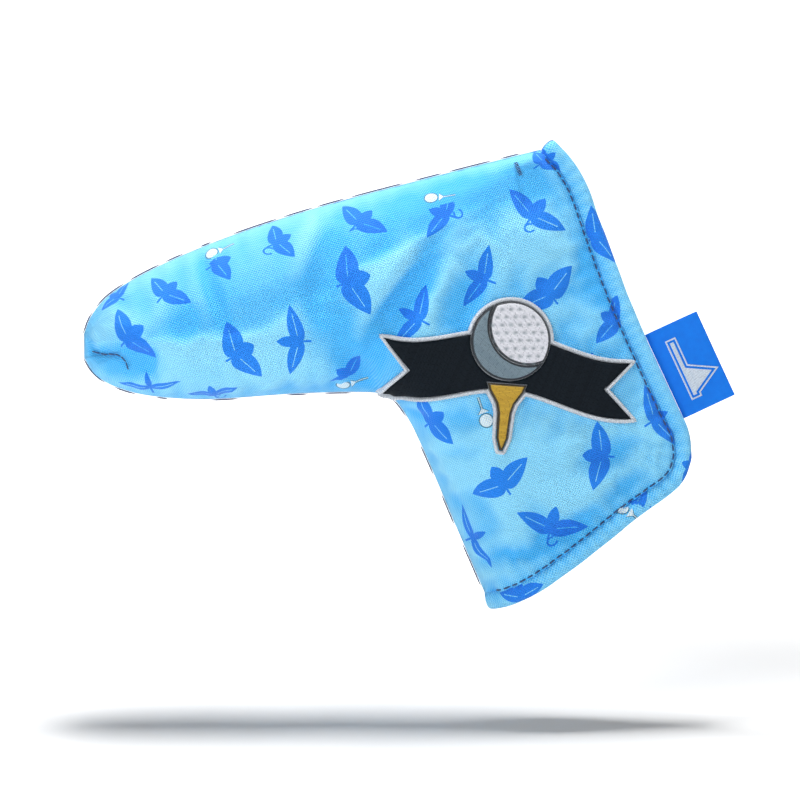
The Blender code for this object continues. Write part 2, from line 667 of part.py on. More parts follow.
hinges = {
    "front_leaf": hinge("front_leaf_hinge", fold_point(FRONT, FOLD_TOP), fold_point(FRONT, FOLD_BOTTOM)),
    "back_leaf": hinge("back_leaf_hinge", fold_point(BACK, FOLD_BOTTOM), fold_point(BACK, FOLD_TOP)),
    "label": hinge(
        "label_hinge",
        (label_root[0], LABEL_DEPTH, label_root[1]),
        (label_root[0] + label_run[0], LABEL_DEPTH, label_root[1] + label_run[1]),
    ),
}
riders = {
    "front_leaf": ["label_tail"] + [o.name for o in bpy.data.objects if o.name.endswith("_leaf") and "back_" not in o.name.replace("backing", "")],
    "back_leaf": [o.name for o in bpy.data.objects if o.name.endswith("back_leaf")],
    "label": ["label_flap", "label_flag"],
}
riders["front_leaf"] += ["magnet_front_upper", "magnet_front_lower"]
riders["back_leaf"] += ["magnet_back_upper", "magnet_back_lower"]
hinges["label"].parent = hinges["front_leaf"]
bpy.context.view_layer.update()
hinges["label"].matrix_parent_inverse = hinges["front_leaf"].matrix_world.inverted()
bpy.context.view_layer.update()
for body, names in riders.items():
    for name in names:
        rider = bpy.data.objects[name]
        rider.parent = hinges[body]
        rider.matrix_parent_inverse = hinges[body].matrix_world.inverted()
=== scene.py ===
"""The looks of a padded cloth head cover for a blade putter.

The row frame has its origin at the middle of the mouth, +X from toe to heel, +Z up and
-Y towards the front. Lengths in the pattern work are in millimetres, and every mesh is
turned into metres as it is made.
"""

import math

import bpy
import numpy as np
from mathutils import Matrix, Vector
from mathutils.geometry import delaunay_2d_cdt


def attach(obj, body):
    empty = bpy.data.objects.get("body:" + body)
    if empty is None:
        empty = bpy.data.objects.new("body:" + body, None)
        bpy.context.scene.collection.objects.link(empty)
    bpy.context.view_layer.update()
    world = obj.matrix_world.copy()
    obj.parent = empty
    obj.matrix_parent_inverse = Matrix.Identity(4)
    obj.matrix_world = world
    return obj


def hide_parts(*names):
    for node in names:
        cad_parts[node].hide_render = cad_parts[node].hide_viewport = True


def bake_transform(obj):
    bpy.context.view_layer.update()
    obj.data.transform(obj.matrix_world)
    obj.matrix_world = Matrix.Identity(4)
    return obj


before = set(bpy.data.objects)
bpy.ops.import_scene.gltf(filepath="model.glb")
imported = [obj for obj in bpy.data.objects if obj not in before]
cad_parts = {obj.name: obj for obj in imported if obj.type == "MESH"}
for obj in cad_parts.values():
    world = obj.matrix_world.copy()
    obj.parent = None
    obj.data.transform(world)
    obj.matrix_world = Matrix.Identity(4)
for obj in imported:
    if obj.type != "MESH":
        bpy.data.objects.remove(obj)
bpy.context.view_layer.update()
MM = 0.001

# ---------------------------------------------------------------- table, lights and camera
# A white sweep under and behind the cover, which glows away from it. One lamp overhead
# throws the pool of shadow, and a soft box on each side in front lights the cloth.
bpy.context.scene.view_settings.view_transform = "Standard"
sweep_floor, sweep_depth, sweep_height, sweep_bend = -0.062, 1.5, 0.8, 0.6
sweep_line = [(-2.6, sweep_floor)]
for k in range(17):
    turn = math.pi / 2 * k / 16
    away = sweep_depth - sweep_bend + sweep_bend * math.sin(turn)
    sweep_line.append((away, sweep_floor + sweep_bend * (1 - math.cos(turn))))
sweep_line.append((sweep_depth, sweep_height))
sweep_mesh = bpy.data.meshes.new("paper_sweep")
sweep_mesh.from_pydata(
    [(x, y, z) for y, z in sweep_line for x in (-1.1, 1.1)],
    [],
    [(2 * k, 2 * k + 1, 2 * k + 3, 2 * k + 2) for k in range(len(sweep_line) - 1)],
)
sweep_mesh.shade_smooth()
paper_sweep = bpy.data.objects.new("paper_sweep", sweep_mesh)
bpy.context.collection.objects.link(paper_sweep)
paper = bpy.data.materials.new("white_card")
paper.use_nodes = True
paper_shader = paper.node_tree.nodes["Principled BSDF"]
paper_shader.inputs["Base Color"].default_value = (0.82, 0.82, 0.82, 1)
paper_shader.inputs["Roughness"].default_value = 0.9
paper_shader.inputs["Specular IOR Level"].default_value = 0.1
glow = paper.node_tree
how_far = glow.nodes.new("ShaderNodeVectorMath")
how_far.operation = "LENGTH"
lit_behind = glow.nodes.new("ShaderNodeMapRange")
lit_behind.interpolation_type = "SMOOTHSTEP"
for socket, value in zip(("From Min", "From Max", "To Min", "To Max"), (0.15, 0.45, 0.0, 0.85)):
    lit_behind.inputs[socket].default_value = value
glow.links.new(glow.nodes.new("ShaderNodeTexCoord").outputs["Object"], how_far.inputs[0])
glow.links.new(how_far.outputs["Value"], lit_behind.inputs["Value"])
glow.links.new(lit_behind.outputs["Result"], paper_shader.inputs["Emission Strength"])
paper_shader.inputs["Emission Color"].default_value = (1, 1, 1, 1)
sweep_mesh.materials.append(paper)

studio = bpy.data.worlds.new("studio")
studio.use_nodes = True
sky = studio.node_tree
backdrop = sky.nodes["Background"].inputs
backdrop["Color"].default_value = (1, 1, 1, 1)
seen = sky.nodes.new("ShaderNodeMapRange")
seen.inputs["To Min"].default_value, seen.inputs["To Max"].default_value = 0.16, 1.0
sky.links.new(sky.nodes.new("ShaderNodeLightPath").outputs["Is Camera Ray"], seen.inputs["Value"])
sky.links.new(seen.outputs["Result"], backdrop["Strength"])
bpy.context.scene.world = studio


def soft_box(name, place, aim, width, height, power):
    """A rectangular area lamp that points at aim."""
    lamp = bpy.data.lights.new(name, "AREA")
    lamp.shape, lamp.size, lamp.size_y, lamp.energy = "RECTANGLE", width, height, power
    made = bpy.data.objects.new(name, lamp)
    made.location = place
    made.rotation_euler = (Vector(aim) - Vector(place)).to_track_quat("-Z", "Y").to_euler()
    bpy.context.collection.objects.link(made)


middle = Vector((-0.0638, 0.0, 0.0487))
soft_box("overhead_lamp", (-0.075, 0.0, 0.80), (-0.075, 0.0, 0.0), 0.15, 0.24, 7.4)
soft_box("key_box", (-0.75, -1.05, 0.62), middle, 0.35, 0.35, 7.2)
soft_box("fill_box", (0.75, -1.3, -0.02), middle, 0.7, 0.5, 3.0)

camera_data = bpy.data.cameras.new("camera")
camera_data.lens = 150
camera = bpy.data.objects.new("camera", camera_data)
tilt = math.radians(5)
camera.location = middle + 1.12 * Vector((0, -math.cos(tilt), math.sin(tilt)))
camera.rotation_euler = (middle - camera.location).to_track_quat("-Z", "Y").to_euler()
bpy.context.collection.objects.link(camera)
bpy.context.scene.camera = camera

# ---------------------------------------------------------------- outer cloth
# Printed polyester canvas, cut to an L-shaped pattern and sewn to its mirror image along
# the top and the bottom. The foam behind it is slack, so it folds at the inside corner,
# dips at the toe's tuck and puckers wherever a seam gathers it.
TOP_SEAM = [
    (-169.8, 71), (-167, 77.5), (-160, 85), (-144, 94), (-120, 104), (-89, 114), (-50, 124.3), (-17, 132.6),
]
BOTTOM_SEAM = [
    (-169.8, 63), (-166.5, 57.8), (-160, 53.5), (-148, 50.2), (-128, 49), (-100, 50.8), (-79, 51.4),
    (-68, 50.2), (-62, 44), (-55.5, 31), (-46, 8.5), (-35.2, -16.6),
]
CLOSURE_EDGE = [
    (-17, 132.6), (-10.4, 125.3), (-6.2, 118), (-1.8, 106), (10.2, 75), (23, 47), (27.6, 37.5), (28.6, 30),
]
MOUTH_EDGE = [
    (-35.2, -16.6), (-28, -13.8), (-18.5, -8.3), (-3.2, 2.4), (10.5, 13.1), (23, 21.6), (26.8, 25.2),
    (28.6, 30),
]
INSIDE_CORNER, CLOSURE_TOP = (-68.0, 47.0), (-9.0, 126.0)
# Sections across the cloth: shares of the bottom and the top, with None for the seam's end.
KEY_SECTIONS = [
    (0.0, 0.0), (0.035, 0.03), (0.10, 0.10), (0.30, 0.34), (0.50, None), (0.60, 0.75), (0.82, 0.92),
    (1.0, 1.0),
]
SECTIONS_BETWEEN = [16, 26, 54, 52, 42, 46, 38]
ACROSS, EVENNESS = 118, 0.62
HALF_DEPTH, EDGE_ROUND, PROFILE_POWER = 19.5, 23.0, 1.8
LEAF_THICKNESS, LEAF_SLOPE, BLEND_POWER, HALF_GAP = 5.6, 0.24, 7.0, 0.15
CLOTH_THICKNESS = 0.8
FRONT, BACK = -1, 1
SIDES = {"front": FRONT, "back": BACK}


def smooth_curve(points, count):
    """count evenly spaced points on a Catmull-Rom curve through the given ones."""
    p = np.array(points, float)
    p = np.vstack([2 * p[0] - p[1], p, 2 * p[-1] - p[-2]])
    t = np.linspace(0, 1, 24, endpoint=False)[:, None]
    spans = [
        0.5 * (2 * b + (c - a) * t + (2 * a - 5 * b + 4 * c - d) * t**2 + (3 * b - a - 3 * c + d) * t**3)
        for a, b, c, d in zip(p[:-3], p[1:-2], p[2:-1], p[3:])
    ]
    return spaced(np.vstack(spans + [p[-2][None]]), np.linspace(0, 1, count))


def spaced(line, shares):
    """The points of a polyline at the given shares of its length."""
    along = np.concatenate([[0], np.cumsum(np.linalg.norm(np.diff(line, axis=0), axis=1))])
    at = np.asarray(shares, float) * along[-1]
    return np.stack([np.interp(at, along, line[:, k]) for k in range(line.shape[1])], axis=-1)


def length_of(line):
    """The length of a polyline."""
    return np.linalg.norm(np.diff(line, axis=0), axis=1).sum()


def nearest_on(line, points):
    """The distance of each (x, z) point from a polyline, and how far along it that is."""
    flat = points.reshape(-1, 2)
    start, step = line[:-1], np.diff(line, axis=0)
    run = np.concatenate([[0], np.cumsum(np.linalg.norm(step, axis=1))])
    distance, along = np.empty(len(flat)), np.empty(len(flat))
    for k in range(0, len(flat), 4000):
        away = flat[k : k + 4000, None] - start
        share = np.clip((away * step).sum(-1) / (step**2).sum(-1), 0, 1)
        gaps = np.linalg.norm(away - share[..., None] * step, axis=-1)
        best = gaps.argmin(-1)
        rows = np.arange(len(best))
        distance[k : k + 4000] = gaps[rows, best]
        along[k : k + 4000] = run[best] + share[rows, best] * (run[best + 1] - run[best])
    return distance.reshape(points.shape[:-1]), along.reshape(points.shape[:-1])


def unit(vectors):
    """Vectors scaled to a length of 1."""
    return vectors / np.linalg.norm(vectors, axis=-1)[..., None]


def upright(points, y):
    """Places in space over (x, z) points, at a depth y."""
    return np.stack([points[..., 0], np.broadcast_to(y, points.shape[:-1]), points[..., 1]], axis=-1)


def across(line):
    """The unit vectors at right angles to a polyline, on its left as it runs."""
    run = unit(np.gradient(line, axis=0))
    return np.stack([-run[:, 1], run[:, 0]], axis=1)


top_seam, bottom_seam = smooth_curve(TOP_SEAM, 90), smooth_curve(BOTTOM_SEAM, 120)
closure_edge, mouth_edge = smooth_curve(CLOSURE_EDGE, 80), smooth_curve(MOUTH_EDGE, 60)
bottom_edge = np.vstack([top_seam[:1], bottom_seam])
upper_side = np.vstack([top_seam, closure_edge[1:]])
free_edge = np.vstack([closure_edge, mouth_edge[::-1][1:]])
SEAM_END_SHARE = length_of(top_seam) / length_of(upper_side)
closure_inward = np.array([-0.9228, -0.3855])


def rise(distance):
    """How much of its full depth the cloth has reached at a distance from a seam."""
    t = np.clip(distance / EDGE_ROUND, 1e-4, 1)
    return (1 - (1 - t) ** PROFILE_POWER) ** (1 / PROFILE_POWER)


def depth(points):
    """How far the smooth outer cloth is from the middle plane at each (x, z) point."""
    sewn = rise(nearest_on(top_seam, points)[0]) * rise(nearest_on(bottom_edge, points)[0])
    arm = np.maximum(HALF_DEPTH * sewn, 1e-3)
    leaf = LEAF_THICKNESS + LEAF_SLOPE * np.maximum((points - CLOSURE_TOP) @ closure_inward, 0)
    return HALF_GAP + (arm**-BLEND_POWER + leaf**-BLEND_POWER) ** (-1 / BLEND_POWER)


def gradient(field, points, step):
    """The slope of a field of (x, z) at each point."""
    moves = np.array([step, 0.0]), np.array([0.0, step])
    return np.stack([field(points + move) - field(points - move) for move in moves], axis=-1) / (2 * step)


def facing_out(points):
    """The way the smooth cloth of the front wall faces at each (x, z) point."""
    return unit(upright(-gradient(depth, points, 0.2), -1.0))


def fine_grid():
    """The cloth's (x, z) grid from toe to mouth, its depth and the way it faces."""
    keys = np.array([(low, SEAM_END_SHARE if high is None else high) for low, high in KEY_SECTIONS])
    rows = [keys[:1]]
    for start, end, count in zip(keys[:-1], keys[1:], SECTIONS_BETWEEN):
        rows.append(start + (end - start) * np.linspace(0, 1, count + 1)[1:, None])
    shares = np.vstack(rows)
    even = np.linspace(0, 1, ACROSS)
    steps = EVENNESS * even + (1 - EVENNESS) * (1 - np.cos(np.pi * even)) / 2
    low, high = spaced(bottom_seam, shares[:, 0]), spaced(upper_side, shares[:, 1])
    flat = low[:, None] + (high - low)[:, None] * steps[:, None]
    last = SECTIONS_BETWEEN[-1]
    bend = np.linspace(0, 1, last + 1)[:, None, None] ** 2
    flat[-last - 1 :] += bend * (spaced(mouth_edge, steps) - flat[-1])
    facing = facing_out(flat)

    def seam_facing(line, edge, inner):
        away = gradient(lambda at: nearest_on(line, at)[0], edge + 0.5 * (inner - edge), 0.05)
        return unit(upright(-away, 0.0))

    sewn = shares[:, 1] <= SEAM_END_SHARE + 1e-6
    facing[:, 0] = seam_facing(bottom_edge, flat[:, 0], flat[:, 1])
    facing[sewn, -1] = seam_facing(top_seam, flat[sewn, -1], flat[sewn, -2])
    facing[0] = seam_facing(bottom_edge, flat[0], 0.1 * flat[20, ACROSS // 2] + 0.9 * flat[0])
    height = depth(flat)
    height[0] = height[:, 0] = HALF_GAP
    height[sewn, -1] = HALF_GAP
    return flat, height, facing


flat_grid, depth_grid, facing_grid = fine_grid()
smooth_grid = upright(flat_grid, -depth_grid)
MOST_SHIFT = 1.6


def soft_noise(points, size, seed):
    """Smooth noise from -1 to 1 over (x, z), with bumps about size across."""
    lattice = np.random.default_rng(seed).uniform(-1, 1, (64, 64))
    at = points / size + 20
    cell = np.floor(at).astype(int)
    t = at - cell
    t = t * t * (3 - 2 * t)
    a, b = cell[..., 0] % 63, cell[..., 1] % 63
    low = lattice[a, b] * (1 - t[..., 0]) + lattice[a + 1, b] * t[..., 0]
    high = lattice[a, b + 1] * (1 - t[..., 0]) + lattice[a + 1, b + 1] * t[..., 0]
    return low * (1 - t[..., 1]) + high * t[..., 1]


def fold(points, line, width, height):
    """A soft ridge, or a valley where height is negative, that fades at both ends of a line."""
    curve = smooth_curve(line, 24)
    gap, along = nearest_on(curve, points)
    ends = np.sin(np.pi * np.clip(along / length_of(curve), 0.02, 0.98)) ** 0.7
    return height * np.exp(-((gap / width) ** 2)) * ends


# The folds of the front, and those of the back: a line, its half width and its height.
FRONT_FOLDS = [
    ([(-131, 100), (-127, 89), (-120, 73)], 2.4, -1.3),
    ([(-136, 97), (-131, 85), (-126, 74)], 3.6, 0.7),
    ([(-90, 116), (-95, 102), (-97, 88)], 4.5, 1.5),
    ([(-86, 109), (-90, 88), (-91, 62)], 6.0, -1.7),
    ([(-79, 62), (-71, 82), (-56, 106)], 5.0, 1.5),
    ([(-76, 50), (-69, 76), (-48, 104)], 5.0, -3.2),
    ([(-60, 62), (-52, 84), (-44, 99)], 3.6, 1.5),
    ([(-63, 50), (-46, 68), (-34, 96)], 4.0, -1.0),
    ([(-74, 50), (-81, 64), (-82, 84)], 5.5, -1.8),
    ([(-168.6, 65.6), (-160.6, 64.9), (-156.4, 63.0), (-153.8, 59.8)], 1.3, -1.5),
    ([(-156, 67), (-150, 64.5), (-143, 64)], 4.6, -2.0),
    ([(-164, 72), (-156, 76), (-146, 76)], 5.0, 0.9),
    ([(-147, 72), (-143, 81), (-141, 90)], 3.2, 0.8),
    ([(-137, 68), (-134, 77), (-133, 84)], 4.0, -0.8),
    ([(-14, 33), (2, 38), (17, 45)], 5.0, 1.1),
    ([(-20, 24), (0, 28), (20, 38)], 5.0, -0.8),
    ([(-34, -4), (-16, 1), (3, 15), (20, 27)], 3.6, -1.5),
    ([(-52, 36), (-44, 20), (-36, 2)], 3.0, 0.8),
    ([(-7, 112), (2, 90), (12, 66)], 4.0, -0.9),
    ([(-30, 116), (-22, 104), (-8, 96)], 5.0, 0.9),
]
BACK_FOLDS = [
    ([(-70, 54), (-62, 76), (-44, 101)], 4.6, -2.2),
    ([(-80, 58), (-74, 80), (-60, 104)], 5.0, 1.4),
    ([(-60, 52), (-48, 72), (-34, 96)], 4.4, 1.2),
    ([(-110, 56), (-106, 76), (-112, 98)], 5.0, -1.1),
    ([(-122, 58), (-119, 78), (-124, 96)], 5.0, 0.9),
    ([(-160, 66), (-150, 68), (-140, 72)], 4.0, -1.3),
    ([(-48, 22), (-30, 30), (-6, 40)], 5.0, 1.0),
    ([(-34, -3), (-16, 2), (3, 16), (20, 28)], 3.6, -1.4),
    ([(-8, 110), (1, 90), (11, 66)], 4.0, -0.8),
]


BANNER_CENTRE, BANNER_REACH, BANNER_HALF = (-28.2, 59.8), 41.0, 9.2
BANNER_TILT, BANNER_WAVE, BANNER_WAVELENGTH = -0.115, 3.2, 70.0
BALL_CENTRE, BALL_RADIUS = np.array([-27.4, 69.6]), 13.0


def banner_middle(along):
    """How high the banner's waving middle line is, at a distance along from its centre."""
    return BANNER_WAVE * np.cos(2 * np.pi * along / BANNER_WAVELENGTH) + BANNER_TILT * along


def under_patch(points):
    """1 where the patch's stiff backing holds the cloth flat, fading to 0 around it."""
    along, up = points[..., 0] - BANNER_CENTRE[0], points[..., 1] - BANNER_CENTRE[1]
    over = np.maximum(np.abs(up - banner_middle(along)) - BANNER_HALF, np.abs(along) - BANNER_REACH)
    over = np.minimum(over, np.linalg.norm(points - BALL_CENTRE, axis=-1) - BALL_RADIUS)
    return 1 - np.clip((over + 2) / 7, 0, 1)


def relief(points, side):
    """How far the cloth stands above its smooth shape: folds, slack and seam puckers."""
    folds, seed = (FRONT_FOLDS, 3) if side == FRONT else (BACK_FOLDS, 31)
    top_gap, top_along = nearest_on(top_seam, points)
    low_gap, low_along = nearest_on(bottom_edge, points)
    free_gap, free_along = nearest_on(free_edge, points)
    height = sum(fold(points, line, width, tall) for line, width, tall in folds)
    height = height + 0.5 * soft_noise(points, 21, seed) + 0.28 * soft_noise(points, 9, seed + 1)
    height += 0.09 * soft_noise(points, 3.6, seed + 2)
    for gap, along, tall, pitch, reach in (
        (top_gap, top_along, 0.50, 8.5, 6.5),
        (low_gap, low_along, 0.55, 9.0, 6.5),
        (free_gap, free_along, 0.42, 6.2, 5.0),
    ):
        drift = 1.6 * soft_noise(np.stack([along, gap * 0.4], axis=-1), 17, seed + 3)
        strength = 0.65 + 0.35 * soft_noise(np.stack([along, along * 0], axis=-1), 12, seed + 4)
        height += tall * np.sin(2 * np.pi * along / pitch + 2 * drift) * strength * np.exp(-gap / reach)
    corner = points - INSIDE_CORNER
    reach = np.linalg.norm(corner, axis=-1)
    spokes = np.sin(7.5 * np.arctan2(corner[..., 1], corner[..., 0]) + 0.6)
    height += 0.75 * spokes * np.exp(-((reach / 19) ** 2))
    height *= np.clip(np.minimum(top_gap, low_gap) / 3.5, 0, 1) ** 0.7
    if side == FRONT:
        height *= 1 - 0.8 * under_patch(points)
    return height - 1.0 * np.exp(-((free_gap / 1.5) ** 2)) * np.clip(np.minimum(top_gap, low_gap) / 2.0, 0, 1)


def picked(every, first=0):
    """Every so many rows and columns of the cloth's grid, always with the last of each."""
    rows = np.unique(np.r_[np.arange(first, len(flat_grid), every), len(flat_grid) - 1])
    columns = np.unique(np.r_[np.arange(0, ACROSS, every), ACROSS - 1])
    return rows, columns, np.ix_(rows, columns)


def settled(side, every=3):
    """How far the slack canvas moves when the foam pushes it out, with its seams held."""
    rows, columns, pick = picked(every)
    flat = flat_grid[pick]
    start = smooth_grid[pick] + 0.35 * relief(flat, side)[..., None] * facing_grid[pick]
    index = np.arange(start.shape[0] * start.shape[1]).reshape(start.shape[:2])
    quads = np.stack([index[:-1, :-1], index[:-1, 1:], index[1:, 1:], index[1:, :-1]], axis=-1).reshape(-1, 4)
    mesh = bpy.data.meshes.new("slack_canvas")
    mesh.from_pydata((start.reshape(-1, 3) * MM).tolist(), [], quads.tolist())
    trial = bpy.data.objects.new("slack_canvas", mesh)
    bpy.context.collection.objects.link(trial)
    held = np.zeros(start.shape[:2], bool)
    held[:2] = held[-2:] = held[:, :1] = held[:, -1:] = True
    held |= (nearest_on(free_edge, flat)[0] < 1.5) | ((under_patch(flat) > 0.6) & (side == FRONT))
    trial.vertex_groups.new(name="held").add(index[held].tolist(), 1.0, "REPLACE")
    cloth = trial.modifiers.new("canvas", "CLOTH")
    cloth.settings.vertex_group_mass = "held"
    cloth.settings.quality = 7
    cloth.settings.mass = 0.25
    cloth.settings.tension_stiffness = cloth.settings.compression_stiffness = 18
    cloth.settings.shear_stiffness = 6
    cloth.settings.bending_stiffness = 0.6
    cloth.settings.shrink_min = -0.035
    cloth.settings.use_pressure = True
    cloth.settings.uniform_pressure_force = 3.0
    cloth.settings.effector_weights.gravity = 0
    cloth.collision_settings.use_collision = False
    for step in range(1, 21):
        bpy.context.scene.frame_set(step)
    moved = trial.evaluated_get(bpy.context.evaluated_depsgraph_get()).to_mesh()
    end = np.empty(len(moved.vertices) * 3)
    moved.vertices.foreach_get("co", end)
    shift = ((end.reshape(start.shape) / MM - start) * facing_grid[pick]).sum(-1)
    bpy.data.objects.remove(trial)
    bpy.context.scene.frame_set(1)
    shift = MOST_SHIFT * np.tanh((shift - 0.6 * np.median(shift)) / MOST_SHIFT)
    shift = np.stack([np.interp(np.arange(len(flat_grid)), rows, line) for line in shift.T], axis=1)
    return np.stack([np.interp(np.arange(ACROSS), columns, line) for line in shift], axis=0)


relief_grids = {side: relief(flat_grid, side) for side in SIDES.values()}
for side in SIDES.values():
    moved_out = settled(side)
    seam_gap = np.minimum(nearest_on(top_seam, flat_grid)[0], nearest_on(bottom_edge, flat_grid)[0])
    kept = np.clip(seam_gap / 4, 0, 1) * np.clip(nearest_on(free_edge, flat_grid)[0] / 4 - 0.5, 0, 1)
    if side == FRONT:
        kept *= 1 - under_patch(flat_grid)
    relief_grids[side] += 0.62 * moved_out * kept


def on_surface(side, points, above):
    """Places at a height above the outer cloth, over (x, z) points."""
    height = np.asarray(relief(points, side) + above)[..., None]
    return (upright(points, -depth(points)) + height * facing_out(points)) * [1, -side, 1]


def layer(side, inset, every=1, first=0):
    """The grid of points that lies inset under the outer cloth, on the front or the back."""
    pick = picked(every, first)[2]
    grid = smooth_grid[pick] + (relief_grids[side][pick] - inset)[..., None] * facing_grid[pick]
    grid[..., 1] = np.minimum(grid[..., 1], -HALF_GAP)
    return grid * [1, -side, 1], pick


def mesh_object(name, vertices, faces, material, smooth_angle=50):
    """A shaded mesh object, from points in millimetres."""
    mesh = bpy.data.meshes.new(name)
    corners = [tuple(int(k) for k in face) for face in faces]
    mesh.from_pydata((np.asarray(vertices, float) * MM).tolist(), [], corners)
    mesh.materials.append(material)
    mesh.shade_smooth()
    mesh.set_sharp_from_angle(angle=math.radians(smooth_angle))
    made = bpy.data.objects.new(name, mesh)
    bpy.context.collection.objects.link(made)
    return made


def wall(name, outer, inner, material, side):
    """A closed sheet between two grids, with its outer face first."""
    rows, columns = outer.shape[:2]
    count = rows * columns
    index = np.arange(count).reshape(rows, columns)
    a, b, c, d = index[:-1, :-1], index[:-1, 1:], index[1:, 1:], index[1:, :-1]
    cells = np.stack([a, b, c, d], axis=-1).reshape(-1, 4)
    rim = np.concatenate([index[0, :-1], index[:-1, -1], index[-1, :0:-1], index[:0:-1, 0]])
    following = np.roll(rim, -1)
    edge = np.stack([following, rim, rim + count, following + count], axis=-1)
    faces = np.concatenate([cells, cells[:, ::-1] + count, edge])
    if side == BACK:
        faces = faces[:, ::-1]
    return mesh_object(name, np.concatenate([outer.reshape(-1, 3), inner.reshape(-1, 3)]), faces, material)


def set_vectors(made, name, values):
    """Stores a vector for each point of a mesh, for its material to read."""
    held = made.data.attributes.new(name, "FLOAT_VECTOR", "POINT")
    held.data.foreach_set("vector", np.asarray(values, np.float32).reshape(-1))


# How much longer the cloth is than its shadow on the middle plane, from each distance in.
profile_steps = np.linspace(0, EDGE_ROUND, 240)
profile_rise = np.clip(np.gradient(HALF_DEPTH * rise(profile_steps), profile_steps), 0, 6)
extra = (np.sqrt(1 + profile_rise**2) - 1) * np.gradient(profile_steps)
extra_length = extra[::-1].cumsum()[::-1]


def on_cloth(points):
    """Where each (x, z) point lies on the cloth laid flat, in millimetres."""
    moved = points.astype(float).copy()
    for line in (top_seam, bottom_edge):
        away = gradient(lambda at: nearest_on(line, at)[0], points, 0.3)
        away /= np.maximum(np.linalg.norm(away, axis=-1), 1e-6)[..., None]
        moved -= away * np.interp(nearest_on(line, points)[0], profile_steps, extra_length)[..., None]
    return moved


# The all-over print: sprigs of three leaves, some with a curled tendril, and small balls on
# tees. Each is (x, z, turn in degrees, half length, half width, kind).
LEAF, TENDRIL, BALL_ON_TEE = 0, 1, 2
FRONT_PRINT = [
    (-153, 71, -51, 11.5, 3.3, LEAF), (-141, 86, -35, 9.5, 2.8, LEAF), (-124, 96, -66, 8.5, 2.8, LEAF),
    (-104, 103, -58, 9.0, 2.7, TENDRIL), (-117, 66, -58, 11, 3.6, LEAF), (-98, 70, 90, 12, 2.5, LEAF),
    (-147, 54.5, 8, 11.5, 1.5, LEAF), (-126, 52.5, 14, 9, 2.0, TENDRIL), (-77, 110, -38, 10.5, 3.0, TENDRIL),
    (-49.5, 112, 68, 10, 2.5, TENDRIL), (-19.5, 111.5, -38, 12, 2.9, TENDRIL),
    (-80, 89.5, -70, 12.5, 3.8, LEAF),
    (-58.5, 77.5, 62, 11.5, 2.3, LEAF), (-36.8, 90.5, 68, 11, 2.4, LEAF), (-14.5, 85.5, 38, 11.5, 3.6, LEAF),
    (-81.5, 58, 50, 8.5, 2.4, TENDRIL), (-53, 43, -52, 10.5, 3.0, LEAF), (-30, 23, 34, 11.5, 3.3, LEAF),
    (-13.5, 8, -12, 12.5, 2.8, TENDRIL), (3, 31, 86, 11.5, 3.2, LEAF), (22, 43, -60, 12, 2.5, LEAF),
    (-39.5, 3.4, -62, 12, 1.8, LEAF), (7.4, 76, 62, 9.5, 2.8, LEAF), (15, 13, 44, 8, 2.2, TENDRIL),
    (4, 104.5, -66, 10.5, 2.7, LEAF), (-13.4, 131, -46, 8.5, 2.7, LEAF), (-22, -16, 18, 8, 2.3, LEAF),
    (0, 58, 80, 7.5, 2.0, LEAF), (-100, 124, 20, 9, 2.5, LEAF), (-163, 90, 60, 9, 2.4, LEAF),
    (36, 26, 70, 8, 2.4, LEAF),
    (-124.5, 99.5, 114, 6.6, 2.6, BALL_ON_TEE), (-51.5, 117.8, 94, 6.6, 2.6, BALL_ON_TEE),
    (-80.5, 54.6, 95, 6.6, 2.6, BALL_ON_TEE), (13, 10.6, 52, 6.2, 2.5, BALL_ON_TEE),
    (-36, 45.5, 200, 6, 2.4, BALL_ON_TEE),
]
BACK_PRINT = []
turns = np.random.default_rng(11).uniform(-90, 90, 120)
for row in range(9):
    for column in range(11):
        place = (-176 + 24 * column + 12 * (row % 2), -24 + 21 * row)
        turn = turns[(11 * row + column) % 120]
        kind = (LEAF, TENDRIL, LEAF, LEAF, TENDRIL, BALL_ON_TEE)[(2 * row + 5 * column) % 6]
        size = (6.6, 2.6) if kind == BALL_ON_TEE else (11, 2.0 + 0.5 * ((row + column) % 4))
        BACK_PRINT.append((*place, turn, *size, kind))


def print_marks(cloth_points, motifs):
    """For each point, its place in the nearest printed motif, and the motif's size.

    The place's third value is the kind, and the size's third is 0 where the owner changes
    between neighbours, so that nothing is drawn across the change."""
    centres = on_cloth(np.array([m[:2] for m in motifs], float))
    best = np.full(cloth_points.shape[:-1], 1e9)
    place, size = np.zeros((*best.shape, 3)), np.zeros((*best.shape, 3))
    owner = np.full(best.shape, -1)
    for number, (centre, (_, _, turn, reach, width, kind)) in enumerate(zip(centres, motifs)):
        angle = math.radians(turn)
        away = cloth_points - centre
        u = away[..., 0] * math.cos(angle) + away[..., 1] * math.sin(angle)
        v = -away[..., 0] * math.sin(angle) + away[..., 1] * math.cos(angle)
        near = np.hypot(u / reach, (v - 0.1 * reach) / (1.1 * width + 2.4))
        if kind == BALL_ON_TEE:
            near = np.hypot(u / 3.2, v / 6.4) - 0.35
        lift = 0.0 if kind == BALL_ON_TEE else 0.26 * np.abs(u) - 0.9
        closer = near < best
        best[closer], owner[closer] = near[closer], number
        place[closer] = np.stack([u, v - lift, np.full_like(u, kind)], axis=-1)[closer]
        size[closer] = (reach, width, 1.0)
    change = np.zeros(owner.shape, bool)
    if owner.ndim == 2:
        change[1:] |= owner[1:] != owner[:-1]
        change[:-1] |= owner[1:] != owner[:-1]
        change[:, 1:] |= owner[:, 1:] != owner[:, :-1]
        change[:, :-1] |= owner[:, 1:] != owner[:, :-1]
    size[change, 2] = 0.0
    return place, size


